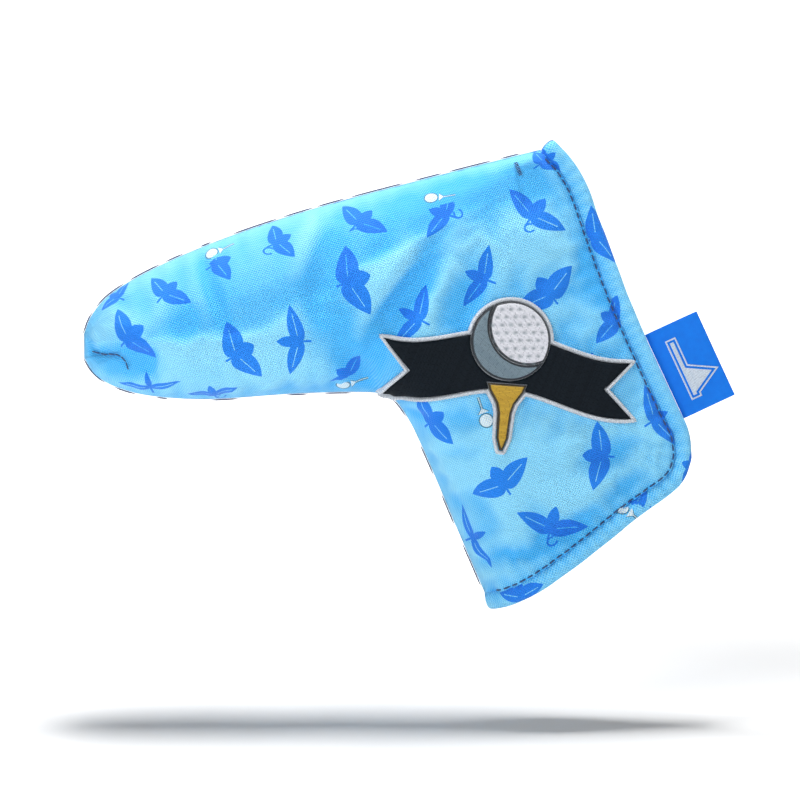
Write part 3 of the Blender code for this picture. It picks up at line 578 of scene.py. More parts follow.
class Graph:
    """Short ways to add and join shader nodes in one tree."""

    def __init__(self, tree):
        self.tree = tree

    def put(self, socket, value):
        if hasattr(value, "is_output"):
            self.tree.links.new(value, socket)
        elif value is not None:
            socket.default_value = value

    def node(self, kind, inputs=(), **settings):
        made = self.tree.nodes.new("ShaderNode" + kind)
        for key, value in settings.items():
            setattr(made, key, value)
        for key, value in dict(inputs).items():
            self.put(made.inputs[key], value)
        return made

    def math(self, operation, a, b=None, c=None, clamp=False):
        made = self.node("Math", operation=operation, use_clamp=clamp)
        for socket, value in zip(made.inputs, (a, b, c)):
            self.put(socket, value)
        return made.outputs[0]

    def times(self, first, *others):
        for value in others:
            first = self.math("MULTIPLY", first, value)
        return first

    def plus(self, a, b):
        return self.math("ADD", a, b)

    def minus(self, a, b, clamp=False):
        return self.math("SUBTRACT", a, b, clamp=clamp)

    def over(self, a, b):
        return self.math("DIVIDE", a, b)

    def size(self, value):
        return self.math("ABSOLUTE", value)

    def above(self, value, limit):
        """1 where a value is more than a limit, or else 0."""
        return self.math("GREATER_THAN", value, limit)

    def below(self, value, limit):
        return self.math("LESS_THAN", value, limit)

    def share(self, value):
        """A value kept between 0 and 1."""
        return self.math("ADD", value, 0.0, clamp=True)

    def reach(self, u, v):
        """How far (u, v) is from the origin."""
        return self.math("SQRT", self.plus(self.times(u, u), self.times(v, v)))

    def mix(self, share, a, b):
        made = self.node("Mix", data_type="RGBA")
        self.put(made.inputs[0], share)
        self.put(made.inputs[6], a)
        self.put(made.inputs[7], b)
        return made.outputs[2]

    def attribute(self, name):
        held = self.node("Attribute", attribute_name=name).outputs["Vector"]
        return self.node("SeparateXYZ", {0: held}).outputs

    def noise(self, name, scale, detail):
        """Soft noise over a stored vector."""
        held = self.node("Attribute", attribute_name=name).outputs["Vector"]
        return self.node("TexNoise", {"Vector": held, "Scale": scale, "Detail": detail}).outputs[0]

    def bump(self, shader, height, strength, distance):
        made = self.node("Bump", {"Strength": strength, "Distance": distance, "Height": height})
        self.put(shader.inputs["Normal"], made.outputs[0])

    def group(self, group, **inputs):
        made = self.tree.nodes.new("ShaderNodeGroup")
        made.node_tree = group
        for key, value in inputs.items():
            self.put(made.inputs[key.replace("_", " ")], value)
        return made.outputs


def shader_group(name, inputs, outputs):
    """A new node group, with float inputs and named outputs, and its graph and its two ends."""
    tree = bpy.data.node_groups.new(name, "ShaderNodeTree")
    for key, value in inputs.items():
        tree.interface.new_socket(key, in_out="INPUT", socket_type="NodeSocketFloat").default_value = value
    for key in outputs:
        tree.interface.new_socket(key, in_out="OUTPUT", socket_type="NodeSocketFloat")
    ends = tree.nodes.new("NodeGroupInput").outputs, tree.nodes.new("NodeGroupOutput").inputs
    return tree, Graph(tree), *ends


def new_material(name):
    """A new material, with its graph and its Principled shader."""
    material = bpy.data.materials.new(name)
    material.use_nodes = True
    return material, Graph(material.node_tree), material.node_tree.nodes["Principled BSDF"]


# Plain canvas: warp and weft cross over and under at the pitch, and yarns vary a little.
canvas_weave, g, given, result = shader_group(
    "canvas_weave", {"Pitch": 1.0, "Unevenness": 0.2}, ["Height", "Hollow"]
)
yarn_shift = g.times(g.minus(g.noise("cloth", 0.35, 2.0), 0.5), given["Unevenness"])
warp, weft = (
    g.math("COSINE", g.times(g.over(g.plus(place, yarn_shift), given["Pitch"]), 2 * math.pi))
    for place in g.attribute("cloth")[:2]
)
height = g.math("MULTIPLY_ADD", g.times(warp, weft), 0.5, 0.5)
g.put(result["Height"], height)
g.put(result["Hollow"], g.math("SMOOTH_MIN", g.times(g.minus(0.42, height), 3.2), 1.0, 0.1, clamp=True))

# The print, drawn from each point's place (u, v) in its motif.
tossed_print, g, given, result = shader_group("tossed_print", {"Edge": 0.12}, ["Leaf", "Ball", "Outline"])
u, v, kind = g.attribute("motif")[:3]
half_length, half_width, whole = g.attribute("motif_size")[:3]
shown = g.above(whole, 0.999)
is_tee = g.above(kind, 1.5)
is_sprig = g.minus(1.0, is_tee)
off_u, off_v = g.size(u), g.size(v)


def within(value, limit):
    """1 where value is below limit, with a soft printed edge."""
    return g.math("DIVIDE", g.minus(limit, value), given["Edge"], clamp=True)


def leaf_half(share, full, start, swell, taper):
    """Half the width of a leaf at a share of the way along it."""
    swelling = g.math("POWER", g.plus(share, start), swell)
    return g.times(half_width, full, swelling, g.math("POWER", g.minus(1.0, share), taper))


along = g.over(off_u, half_length)
side_leaves = within(off_v, leaf_half(g.share(along), 2.55, 0.015, 0.45, 0.95))
vein = g.times(within(off_v, 0.19), g.above(along, 0.16), g.below(along, 0.74))
up = g.share(g.over(v, g.times(half_length, 0.62)))
middle_leaf = g.times(within(off_u, leaf_half(up, 2.0, 0.01, 0.6, 0.9)), g.above(v, 0.0))
stem = g.times(within(off_u, 0.42), g.below(v, 0.6), g.above(v, -4.2))
curl_u, curl_v = g.minus(u, 1.6), g.plus(v, 4.3)
curl_line = within(g.size(g.minus(g.reach(curl_u, curl_v), 1.5)), 0.38)
curl_open = g.minus(1.0, g.times(g.above(curl_v, 0.1), g.above(curl_u, 0.1)))
curl = g.times(curl_line, curl_open, g.above(kind, 0.5), is_sprig)
leaves = g.math("MAXIMUM", g.minus(side_leaves, vein, clamp=True), middle_leaf)
sprig = g.math("MAXIMUM", g.math("MAXIMUM", leaves, stem), curl)
g.put(result["Leaf"], g.times(sprig, is_sprig, shown))

ball_radius = g.reach(u, g.minus(v, 2.2))
tee_half = g.plus(0.5, g.times(g.math("MAXIMUM", g.plus(v, 1.9), 0.0), 1.1))
tee_span = g.times(g.above(v, -6.0), g.below(v, -0.4))
tee_fill = g.times(within(off_u, g.minus(tee_half, 0.30)), tee_span)
tee_all = g.times(within(off_u, g.plus(tee_half, 0.05)), tee_span)
ball_fill = g.math("MAXIMUM", within(ball_radius, 2.15), tee_fill)
ball_all = g.math("MAXIMUM", within(ball_radius, 2.55), tee_all)
g.put(result["Ball"], g.times(ball_fill, is_tee, shown))
g.put(result["Outline"], g.times(g.minus(ball_all, ball_fill, clamp=True), is_tee, shown))


def canvas_material(name, ridge, shaded_colour, leaf):
    """Printed canvas. Its colour is palest where the cloth stands up and deepest in a fold, which is painted
    shade.
    """
    material, g, shader = new_material(name)
    weave, marks = g.group(canvas_weave, Pitch=1.02, Unevenness=0.5), g.group(tossed_print)
    drift = g.math("MULTIPLY_ADD", g.noise("cloth", 0.05, 3.0), 0.5, -0.25)
    # The 'slack' attribute holds how much painted shade each point takes, and random tone is added to it.
    shade_and_tone = g.math("ADD", g.attribute("slack")[0], drift, clamp=True)
    colour = g.mix(shade_and_tone, (*ridge, 1), (*shaded_colour, 1))
    shaded_leaf = g.mix(shade_and_tone, (*leaf, 1), (leaf[0], leaf[1] * 0.72, leaf[2] * 0.93, 1))
    colour = g.mix(marks["Leaf"], colour, shaded_leaf)
    colour = g.mix(marks["Ball"], colour, (0.80, 0.90, 0.92, 1))
    colour = g.mix(marks["Outline"], colour, (0.01, 0.10, 0.16, 1))
    # Painted highlight: the crowns of the yarns are painted paler, less so on the leaves.
    crown = g.times(weave["Height"], weave["Height"], g.minus(0.34, g.times(marks["Leaf"], 0.30)))
    colour = g.mix(crown, colour, (0.52, 0.86, 0.99, 1))
    # Painted shade in the gaps of the weave, deeper where the fold shade is deeper.
    painted_gap_shade = g.times(weave["Hollow"], g.math("MULTIPLY_ADD", shade_and_tone, 0.35, 0.42))
    g.put(shader.inputs["Base Color"], g.mix(painted_gap_shade, colour, (0.0, 0.32, 0.84, 1)))
    g.put(shader.inputs["Roughness"], g.math("MULTIPLY_ADD", weave["Hollow"], 0.15, 0.66))
    g.bump(shader, weave["Height"], 0.8, 0.00030)
    shader.inputs["Specular IOR Level"].default_value = 0.3
    shader.inputs["Sheen Weight"].default_value = 0.12
    shader.inputs["Sheen Roughness"].default_value = 0.5
    return material


sky_canvas = canvas_material("sky_canvas", (0.24, 0.69, 0.97), (0.010, 0.43, 0.95), (0.001, 0.20, 0.84))


def bend_at_fold(made):
    """Bakes a piece's place into its mesh, without bending it at the fold."""
    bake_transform(made)


GRAIN = math.radians(24)


def dress(made, cloth_points, motifs, painted_shade, side, repeats=1):
    """Gives a piece of printed canvas its place in the weave and in the print, and its painted shade."""
    cos, sin = math.cos(GRAIN), math.sin(GRAIN)
    turned = cloth_points @ np.array([[cos, -sin], [sin, cos]])
    place, size = print_marks(cloth_points, motifs)
    flat = np.zeros((*cloth_points.shape[:-1], 1))
    # The 'slack' attribute carries the painted shade of each point.
    for name, values in (
        ("cloth", np.concatenate([turned, flat + 7.0 * side], axis=-1)),
        ("motif", place),
        ("motif_size", size),
        ("slack", np.concatenate([painted_shade[..., None], flat, flat], axis=-1)),
    ):
        set_vectors(made, name, np.concatenate([values.reshape(-1, 3)] * repeats))


cloth_grid = on_cloth(flat_grid)
PRINTS = {FRONT: FRONT_PRINT, BACK: BACK_PRINT}
for word, side in SIDES.items():
    shell = wall(f"shell_{word}", layer(side, 0.0)[0], layer(side, CLOTH_THICKNESS)[0], sky_canvas, side)
    # Painted shade: deepest at a spot in the arm's crook, darker on the lower half of the arm and lighter on
    # its top, and less where the cloth stands up.
    x, z = flat_grid[..., 0], flat_grid[..., 1]
    arm_shade_spot = np.exp(-((np.hypot(x + 78, z - 72) / 20) ** 2))
    shade_under_arm = np.clip((-x - 55) / 25, 0, 1) * np.clip((80 - z) / 22, -1, 1)
    painted_shade = np.clip(0.42 + 0.34 * arm_shade_spot + 0.17 * shade_under_arm - 0.56 * relief_grids[side], 0, 1)
    dress(shell, cloth_grid, PRINTS[side], painted_shade, side, repeats=2)
    bend_at_fold(shell)
    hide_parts(f"shell_{word}_sleeve", f"shell_{word}_leaf")

# ---------------------------------------------------------------- foam and plush lining
# A sheet of white polyurethane foam lies under the canvas, and a grey plush lining under
# that. Both are cut to the same pattern and caught in the same seams.
FOAM, PLUSH, LAYER_GAP = 2.6, 1.5, 0.3
foam_material, g, shader = new_material("white_foam_cells")
spot = g.node("TexCoord").outputs["Object"]
cells = g.node("TexVoronoi", {"Vector": spot, "Scale": 900.0}).outputs[0]
g.put(shader.inputs["Base Color"], g.mix(cells, (0.78, 0.77, 0.72, 1), (0.90, 0.89, 0.86, 1)))
g.bump(shader, cells, 0.5, 0.0003)
shader.inputs["Roughness"].default_value = 0.95
plush_material, g, shader = new_material("grey_plush_pile")
spot = g.node("TexCoord").outputs["Object"]
tufts = g.node("TexNoise", {"Vector": spot, "Scale": 1300.0, "Detail": 3.0, "Roughness": 0.65}).outputs[0]
crush = g.node("TexNoise", {"Vector": spot, "Scale": 90.0, "Detail": 4.0}).outputs[0]
pile = g.math("MULTIPLY_ADD", crush, 0.45, g.times(tufts, 0.65))
g.put(shader.inputs["Base Color"], g.mix(pile, (0.26, 0.30, 0.35, 1), (0.72, 0.77, 0.82, 1)))
g.bump(shader, pile, 0.9, 0.0007)
shader.inputs["Roughness"].default_value = 1.0
shader.inputs["Sheen Weight"].default_value = 0.8
shader.inputs["Sheen Roughness"].default_value = 0.6
plush_tufts = np.random.default_rng(5)
for word, side in SIDES.items():
    for label, inset, thick, every, first, finish, slot in (
        ("padding", CLOTH_THICKNESS + LAYER_GAP, FOAM, 3, 8, foam_material, "white_foam"),
        ("lining", CLOTH_THICKNESS + 2 * LAYER_GAP + FOAM, PLUSH, 2, 34, plush_material, "grey_plush"),
    ):
        outer, pick = layer(side, inset, every, first)
        inner, _ = layer(side, inset + thick, every, first)
        if label == "lining":
            tuft = plush_tufts.uniform(0, 0.4, inner.shape[:2])
            tuft[[0, -1]] = 0
            inner = inner - tuft[..., None] * facing_grid[pick] * [1, -side, 1]
        soft = wall(f"{label}_{word}", outer, inner, finish, side)
        bend_at_fold(soft)
        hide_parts(f"{label}_{word}_sleeve", f"{label}_{word}_leaf")

# ---------------------------------------------------------------- magnets
# Four nickel-plated discs sit in pockets in the leaves' foam. The coating has a few duller patches.
nickel_plate, g, shader = new_material("nickel_plate")
spot = g.node("TexCoord").outputs["Object"]
dull = g.node("TexNoise", {"Vector": spot, "Scale": 400.0, "Detail": 4.0}).outputs[0]
g.put(shader.inputs["Base Color"], g.mix(dull, (0.60, 0.59, 0.56, 1), (0.78, 0.77, 0.73, 1)))
g.put(shader.inputs["Roughness"], g.math("MULTIPLY_ADD", dull, 0.3, 0.12))
g.bump(shader, dull, 0.2, 0.0001)
shader.inputs["Metallic"].default_value = 1.0
for word in SIDES:
    for place in ("upper", "lower"):
        for slot_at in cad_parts[f"magnet_{word}_{place}"].material_slots:
            slot_at.material = nickel_plate

# ---------------------------------------------------------------- rolled hems
# The canvas is turned over the free edge of each wall and back on itself, which makes a
# soft band with the print running on over it. Stitching inside it gathers it slightly.
HEM_HALF_WIDTH, HEM_HALF_DEPTH = 2.62, 2.6
HEM_TUCK = 1.31  # how much wider the side that tucks against the wall's edge is


def tube(name, rings, material, side=FRONT, closed=False):
    """A closed tube through rings of points, or a loop without ends."""
    count, around = rings.shape[:2]
    index = np.arange(count * around).reshape(count, around)
    following = np.roll(index, -1, axis=0) if closed else index[1:]
    first = index if closed else index[:-1]
    corners = [first, np.roll(first, -1, axis=1), np.roll(following, -1, axis=1), following]
    faces = [tuple(f) for f in np.stack(corners, axis=-1).reshape(-1, 4)]
    if not closed:
        faces += [tuple(index[0][::-1]), tuple(index[-1])]
    if side == FRONT:
        faces = [f[::-1] for f in faces]
    return mesh_object(name, rings.reshape(-1, 3), faces, material, 60)


def run_frame(centres, outward):
    """Unit vectors outwards and square to a run of points."""
    run = unit(np.gradient(centres, axis=0))
    wide = unit(outward - (outward * run).sum(1)[:, None] * run)
    return wide, np.cross(run, wide)


hem_line = spaced(free_edge, np.linspace(0, 1, 420))
hem_away = across(hem_line)
hem_along = np.linspace(0, length_of(free_edge), len(hem_line))
section_turn = np.linspace(0, 2 * np.pi, 30, endpoint=False)
section = np.stack([np.cos(section_turn), np.sin(section_turn)], axis=1)
section = np.sign(section) * np.abs(section) ** (2 / 2.7)
for word, side in SIDES.items():
    seed = 50 + side
    track = np.stack([hem_along, hem_along * 0], axis=-1)
    ends = np.clip(np.minimum(hem_along, hem_along[-1] - hem_along) / 2.2, 0, 1)
    ends = 0.35 + 0.65 * np.sqrt(1 - (1 - ends) ** 2)
    half_width = HEM_HALF_WIDTH * ends * (1 + 0.03 * soft_noise(track, 7, seed))
    out = LAYER_GAP + HEM_HALF_WIDTH + 0.08 * soft_noise(track, 13, seed + 1)
    centre_depth = np.maximum(depth(hem_line) - 2.8, HALF_GAP + HEM_HALF_DEPTH)
    centres = upright(hem_line + hem_away * out[:, None], side * centre_depth)
    wide, deep = run_frame(centres, upright(hem_away, 0.0))
    deep = deep * np.where((deep[:, 1] * side) > 0, 1, -1)[:, None]
    gather = np.sin(2 * np.pi * hem_along / 3.9 + 3 * soft_noise(track, 11, seed + 2))
    gather = 0.16 * gather * (0.7 + 0.5 * soft_noise(track, 16, seed + 3))
    pinch = np.clip((-section[:, 0] + 0.2) / 1.2, 0, 1)
    tall = HEM_HALF_DEPTH * ends[:, None] + gather[:, None] * (0.35 + pinch) - 0.5 * pinch**2
    reach = np.where(section[:, 0] < 0, HEM_TUCK, 1.0) * section[:, 0]
    rings = centres[:, None] + reach[None, :, None] * half_width[:, None, None] * wide[:, None]
    rings = rings + section[:, 1][None, :, None] * tall[..., None] * deep[:, None]
    rings[..., 1] = side * np.maximum(side * rings[..., 1], HALF_GAP)
    hem = tube(f"hem_{word}", rings, sky_canvas, side)
    closed_section = np.vstack([section, section[:1]]) * [HEM_HALF_WIDTH, HEM_HALF_DEPTH]
    steps_round = np.linalg.norm(np.diff(closed_section, axis=0), axis=1)
    unrolled = np.concatenate([[0], np.cumsum(steps_round)])[:-1]
    half_way = unrolled[len(unrolled) // 2]
    back_again = half_way + unrolled[-1] + steps_round[-1] - unrolled
    unrolled = LAYER_GAP + np.where(section_turn <= np.pi, half_way - unrolled, back_again)
    hem_cloth = on_cloth(hem_line)[:, None] + hem_away[:, None] * unrolled[None, :, None]
    # The hem's painted shade is deepest on its side tucked against the wall and in the troughs of its
    # gathers.
    dress(hem, hem_cloth, PRINTS[side], np.clip(0.30 + 0.5 * pinch[None] - 0.8 * gather[:, None], 0, 1), side)
    bend_at_fold(hem)
    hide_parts(f"hem_{word}_mouth", f"hem_{word}_leaf")

# ---------------------------------------------------------------- sewing thread
# Dark navy polyester thread: the lockstitch that holds each hem, the seams along the top
# and the bottom, the tuck that shapes the toe, and the bar tack where the top seam ends.
navy_thread, g, shader = new_material("navy_twisted_thread")
strand = g.attribute("strand")
twist = g.math("SINE", g.times(g.plus(g.over(strand[0], 0.6), strand[1]), 2 * math.pi))
plies = g.math("MULTIPLY_ADD", twist, 0.5, 0.5)
# Painted highlight on the crown of each ply and painted shade between the plies.
g.put(shader.inputs["Base Color"], g.mix(plies, (0.004, 0.018, 0.075, 1), (0.02, 0.085, 0.26, 1)))
g.bump(shader, plies, 0.7, 0.00008)
shader.inputs["Roughness"].default_value = 0.55
shader.inputs["Sheen Weight"].default_value = 0.2


def stitches(name, runs, radius, replaced, leaf=None):
    """Short lengths of thread as one piece, attached to the sleeve unless a leaf is named.

    Each run is points with the way out at each."""
    around = np.linspace(0, 2 * np.pi, 8, endpoint=False)
    vertices, faces, strand = [], [], []
    for points, out in runs:
        wide, deep = run_frame(points, out)
        share = np.linspace(0, 1, len(points))
        taper = radius * (0.35 + 0.65 * np.sqrt(np.clip(1 - (2 * share - 1) ** 6, 0, 1)))
        ring = points[:, None] + taper[:, None, None] * (
            np.cos(around)[None, :, None] * wide[:, None] + np.sin(around)[None, :, None] * deep[:, None]
        )
        first = len(vertices)
        vertices += ring.reshape(-1, 3).tolist()
        along = np.concatenate([[0], np.cumsum(np.linalg.norm(np.diff(points, axis=0), axis=1))])
        strand += [(a, k / 8, 0) for a in along for k in range(8)]
        for ring_start in range(first, first + 8 * (len(points) - 1), 8):
            for j in range(8):
                here, beside = ring_start + j, ring_start + (j + 1) % 8
                faces.append((here, here + 8, beside + 8, beside))
        last = first + 8 * (len(points) - 1)
        faces += [tuple(range(first, first + 8)), tuple(range(last + 7, last - 1, -1))]
    work = mesh_object(name, vertices, faces, navy_thread, 70)
    set_vectors(work, "strand", strand)
    if leaf:
        bend_at_fold(work)
    else:
        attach(work, "sleeve")
    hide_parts(*replaced)


def laid_stitches(side, line, starts, length, points_each, sink, radius):
    """Stitches that lie on the cloth along an (x, z) line and dip in at both ends."""
    runs = []
    total = length_of(line)
    for start in starts:
        at = np.linspace(start, start + length, points_each) / total
        flat = spaced(line, at)
        dip = sink * (2 * np.linspace(0, 1, points_each) - 1) ** 4
        placed = on_surface(side, flat, radius * 0.9 - dip)
        runs.append((placed, np.tile([0.0, side, 0.0], (points_each, 1))))
    return runs


stitch_line = free_edge - across(free_edge) * 0.75
stitch_line = spaced(stitch_line, np.linspace(0.015, 0.985, 200))
STITCH_COUNT, STITCH_RADIUS = 62, 0.27
pitch = length_of(stitch_line) / STITCH_COUNT
for word, side in SIDES.items():
    starts = np.arange(STITCH_COUNT) * pitch + 0.2
    runs = laid_stitches(side, stitch_line, starts, pitch * 0.80, 7, 0.45, STITCH_RADIUS)
    replaced = (f"topstitch_{word}_mouth", f"topstitch_{word}_leaf")
    stitches(f"topstitch_{word}", runs, STITCH_RADIUS, replaced, f"{word}_leaf")


def seam_runs(line, sign, spans):
    """Lengths of thread in the groove between front and back, over shares of a seam."""
    runs = []
    for start, end in spans:
        count = max(int((end - start) * length_of(line) / 1.5), 5)
        flat = spaced(line, np.linspace(start, end, count))
        away = across(flat) * sign
        runs.append((upright(flat + away * 0.32, 0.0), upright(away, 0.0)))
    return runs


TOP_SPANS = [
    (0.0, 0.045), (0.06, 0.13), (0.145, 0.21), (0.225, 0.262), (0.30, 0.322), (0.37, 0.46), (0.475, 0.535),
    (0.545, 0.60), (0.615, 0.72), (0.745, 0.80), (0.815, 0.90), (0.92, 0.96),
]
LOW_SPANS = [
    (0.0, 0.06), (0.08, 0.12), (0.16, 0.18), (0.26, 0.31), (0.40, 0.44), (0.47, 0.52), (0.60, 0.64),
    (0.70, 0.76), (0.80, 0.86), (0.90, 0.985),
]
stitches("top_seam_stitches", seam_runs(top_seam, 1, TOP_SPANS), 0.22, ["seam_thread_top"])
stitches("bottom_seam_stitches", seam_runs(bottom_seam, -1, LOW_SPANS), 0.22, ["seam_thread_bottom"])
toe_line = smooth_curve([(-167.2, 65.6), (-163, 65.0), (-158.2, 64.6), (-155.6, 62.6), (-153.9, 59.6)], 60)
toe_pitch = length_of(toe_line) / 6
toe_runs = laid_stitches(FRONT, toe_line, np.arange(6) * toe_pitch, toe_pitch * 0.92, 9, 0.25, 0.2)
stitches("toe_tuck_stitches", toe_runs, 0.24, ["toe_tuck_thread"])
tack = []
for k in range(9):
    centre = np.array([-25.4, 128.2]) + np.array([1.6, -3.8]) * k / 8
    flat = centre + np.linspace(-0.7, 0.7, 6)[:, None] * np.array([0.92, 0.39])
    laid = on_surface(FRONT, flat, 0.30 - 0.35 * np.linspace(-1, 1, 6) ** 4)
    tack.append((laid, np.tile([0.0, FRONT, 0.0], (6, 1))))
stitches("bar_tack_stitches", tack, 0.17, ["corner_bar_tack"])

# ---------------------------------------------------------------- embroidered patch
# A twill-backed patch with a wrapped edge, sewn to the front: a black swallow-tailed
# banner with a white golf ball on a gold tee, all in rayon satin stitch.
satin_stitch, g, given, result = shader_group(
    "satin_stitch", {"Pitch": 0.4, "Length": 3.2}, ["Height", "Notch", "Tone"]
)
run, step = g.attribute("stitch")[:2]
rows = g.over(step, given["Pitch"])
scatter = g.math("FRACT", g.times(g.math("SINE", g.times(g.math("FLOOR", rows), 12.9898)), 4375.8))
notch = g.below(g.math("FRACT", g.plus(g.over(run, given["Length"]), scatter)), 0.07)
thread_round = g.math("SINE", g.times(g.math("FRACT", rows), math.pi))
g.put(result["Height"], g.times(thread_round, g.minus(1.0, g.times(notch, 0.7))))
g.put(result["Notch"], notch)
g.put(result["Tone"], scatter)


def embroidery(name, light, dark, sheen, outline=None, rough=0.42, length=3.2, gloss=0.4):
    """Satin stitch in one colour of thread, with an outline of another round it or none."""
    material, g, shader = new_material(name)
    satin = g.group(satin_stitch, Pitch=0.42, Length=length)
    rim, dimple = g.attribute("rim")[:2]
    colour = g.mix(g.math("MULTIPLY_ADD", satin["Tone"], 0.6, 0.2), (*dark, 1), (*light, 1))
    # Painted shade between the rows of satin stitch and at the stitch ends.
    shade = (dark[0] * 0.45, dark[1] * 0.45, dark[2] * 0.5, 1)
    colour = g.mix(g.minus(1.0, satin["Height"]), colour, shade)
    if outline:
        colour = g.mix(g.times(g.below(rim, 0.62), 0.97), colour, (*outline, 1))
        colour = g.mix(g.times(dimple, 0.75), colour, (0.20, 0.26, 0.30, 1))
    g.put(shader.inputs["Base Color"], colour)
    g.put(shader.inputs["Roughness"], g.math("MULTIPLY_ADD", satin["Notch"], 0.3, rough))
    g.bump(shader, satin["Height"], 0.8, 0.00012)
    shader.inputs["Sheen Weight"].default_value = sheen
    shader.inputs["Specular IOR Level"].default_value = gloss
    shader.inputs["Anisotropic"].default_value = 0.4
    return material


def inside(outline, points):
    """Whether each point is within a closed outline."""
    x, z = points[..., 0], points[..., 1]
    found = np.zeros(x.shape, bool)
    for (x1, z1), (x2, z2) in zip(outline, np.roll(outline, -1, axis=0)):
        if z1 != z2:
            found ^= ((z1 > z) != (z2 > z)) & (x < (x2 - x1) * (z - z1) / (z2 - z1) + x1)
    return found


def grown(outline, margin):
    """A closed anticlockwise outline moved outwards all round, with its points kept short."""
    line = np.asarray(outline, float)
    before, after = unit(line - np.roll(line, 1, axis=0)), unit(np.roll(line, -1, axis=0) - line)
    bisector = (before + after)[:, ::-1] * [1, -1]
    bisector /= np.maximum((bisector * bisector).sum(1) / 2, 0.45)[:, None]
    return line + bisector * margin


def filled(outlines, keep, step):
    """Triangles that fill the plane where keep is true, and the loops round them."""
    points, edges = [], []
    for line in outlines:
        closed = np.vstack([line, line[:1]])
        fine = []
        for a, b in zip(closed[:-1], closed[1:]):
            count = max(int(np.ceil(np.linalg.norm(b - a) / step)), 1)
            fine += [a + (b - a) * t for t in np.arange(count) / count]
        first = len(points)
        points += fine
        edges += [(first + k, first + (k + 1) % len(fine)) for k in range(len(fine))]
    edge_points = np.array(points)
    low, high = edge_points.min(0), edge_points.max(0)
    rows = np.arange(low[1], high[1], step * 0.866)
    places = np.arange(low[0], high[0], step)
    lattice = np.array([(x + (k % 2) * step / 2, z) for k, z in enumerate(rows) for x in places])
    lattice = lattice[keep(lattice)]
    gaps = [nearest_on(np.vstack([line, line[:1]]), lattice)[0] for line in outlines]
    points = list(edge_points) + list(lattice[np.min(gaps, axis=0) > 0.5 * step])
    found = delaunay_2d_cdt([Vector(p) for p in points], edges, [], 0, 1e-5)
    flat = np.array([tuple(v) for v in found[0]])
    triangles = np.array([f for f in found[2]])
    triangles = triangles[keep(flat[triangles].mean(1))]
    used, triangles = np.unique(triangles, return_inverse=True)
    flat, triangles = flat[used], triangles.reshape(-1, 3)
    following = {}
    directed = {pair for a, b, c in triangles for pair in ((a, b), (b, c), (c, a))}
    for a, b in directed:
        if (b, a) not in directed:
            following[a] = b
    loops = []
    while following:
        start = min(following)
        loop, at = [start], following.pop(start)
        while at != start and at in following:
            loop.append(at)
            at = following.pop(at)
        loops.append(np.array(loop))
    return flat, triangles, loops


def raised_piece(name, shape, place_at, low, high, crown, material, stitch_angle, dents=None):
    """A thin closed piece over a filled shape, rounded down at its edge like satin stitch."""
    flat, triangles, loops = shape
    rim = np.min([nearest_on(flat[np.append(loop, loop[0])], flat)[0] for loop in loops], axis=0)
    over = 1 - np.clip(rim / 1.1, 0, 1)
    top = high - crown * (1 - np.sqrt(np.clip(1 - over**2, 0, 1)))
    dimple = np.zeros(len(flat)) if dents is None else dents(flat)
    top = top - 0.28 * dimple
    count = len(flat)
    faces = [tuple(t) for t in triangles] + [tuple(t[::-1] + count) for t in triangles]
    for loop in loops:
        for a, b in zip(loop, np.roll(loop, -1)):
            faces.append((a, a + count, b + count, b))
    vertices = np.concatenate([place_at(flat, top), place_at(flat, np.full(count, low))])
    made = mesh_object(name, vertices, faces, material, 55)
    angle = math.radians(stitch_angle)
    run = flat[:, 0] * math.cos(angle) + flat[:, 1] * math.sin(angle)
    side_way = -flat[:, 0] * math.sin(angle) + flat[:, 1] * math.cos(angle)
    set_vectors(made, "stitch", np.concatenate([np.stack([run, side_way, run * 0], axis=1)] * 2))
    set_vectors(made, "rim", np.concatenate([np.stack([rim, dimple, rim * 0], axis=1)] * 2))
    return made


def banner_outline():
    """A waving banner with a swallow-tail notch at each end, anticlockwise."""
    along = np.linspace(-BANNER_REACH, BANNER_REACH, 45)
    lower = np.stack([along, banner_middle(along) - BANNER_HALF], axis=1)
    upper = np.stack([along, banner_middle(along) + BANNER_HALF], axis=1)[::-1]
    right, left = ([[notch, banner_middle(notch)]] for notch in (BANNER_REACH - 9.0, 9.0 - BANNER_REACH))
    return np.vstack([lower, right, upper, left]) + BANNER_CENTRE


def circle_outline(centre, radius, count=72):
    turn = np.linspace(0, 2 * np.pi, count, endpoint=False)
    return np.stack([centre[0] + radius * np.cos(turn), centre[1] + radius * np.sin(turn)], axis=1)


def tee_outline():
    """A golf tee: a dished cup on a stem that tapers to a point, anticlockwise."""
    top, tip = np.array([-28.6, 55.4]), np.array([-30.6, 33.6])
    length = np.linalg.norm(tip - top)
    down = (tip - top) / length
    right = np.array([-down[1], down[0]])
    half = [(0, 6.4), (2.4, 5.6), (6.5, 2.9), (9.5, 2.1), (length - 4, 1.8), (length, 0.5)]
    left_side = [top + down * a - right * b for a, b in half]
    return np.array(left_side + [top + down * a + right * b for a, b in reversed(half)])


banner, ball_line, tee_line = banner_outline(), circle_outline(BALL_CENTRE, BALL_RADIUS), tee_outline()
shade_line = circle_outline(BALL_CENTRE + [6, 5], BALL_RADIUS)
device = [banner, ball_line, tee_line]
STITCH_GAP = 0.3


def over_front(flat, above):
    return on_surface(FRONT, flat, above)


def device_shape(margin, step):
    lines = [grown(line, margin) for line in device]
    return filled(lines, lambda p: np.any([inside(line, p) for line in lines], axis=0), step)


DIMPLE_PITCH, DIMPLE_ROWS = 3.0, 2.6


def ball_dimples(flat):
    """Dimples in staggered rows, on the lit part of the ball."""
    away = flat - BALL_CENTRE
    row = np.round(away[:, 1] / DIMPLE_ROWS)
    x = away[:, 0] - (row % 2) * DIMPLE_PITCH / 2
    gap = np.hypot((x - np.round(x / DIMPLE_PITCH) * DIMPLE_PITCH) * 0.75, away[:, 1] - row * DIMPLE_ROWS)
    return np.exp(-((gap / 0.55) ** 2)) * (np.linalg.norm(away, axis=1) < 11.2)


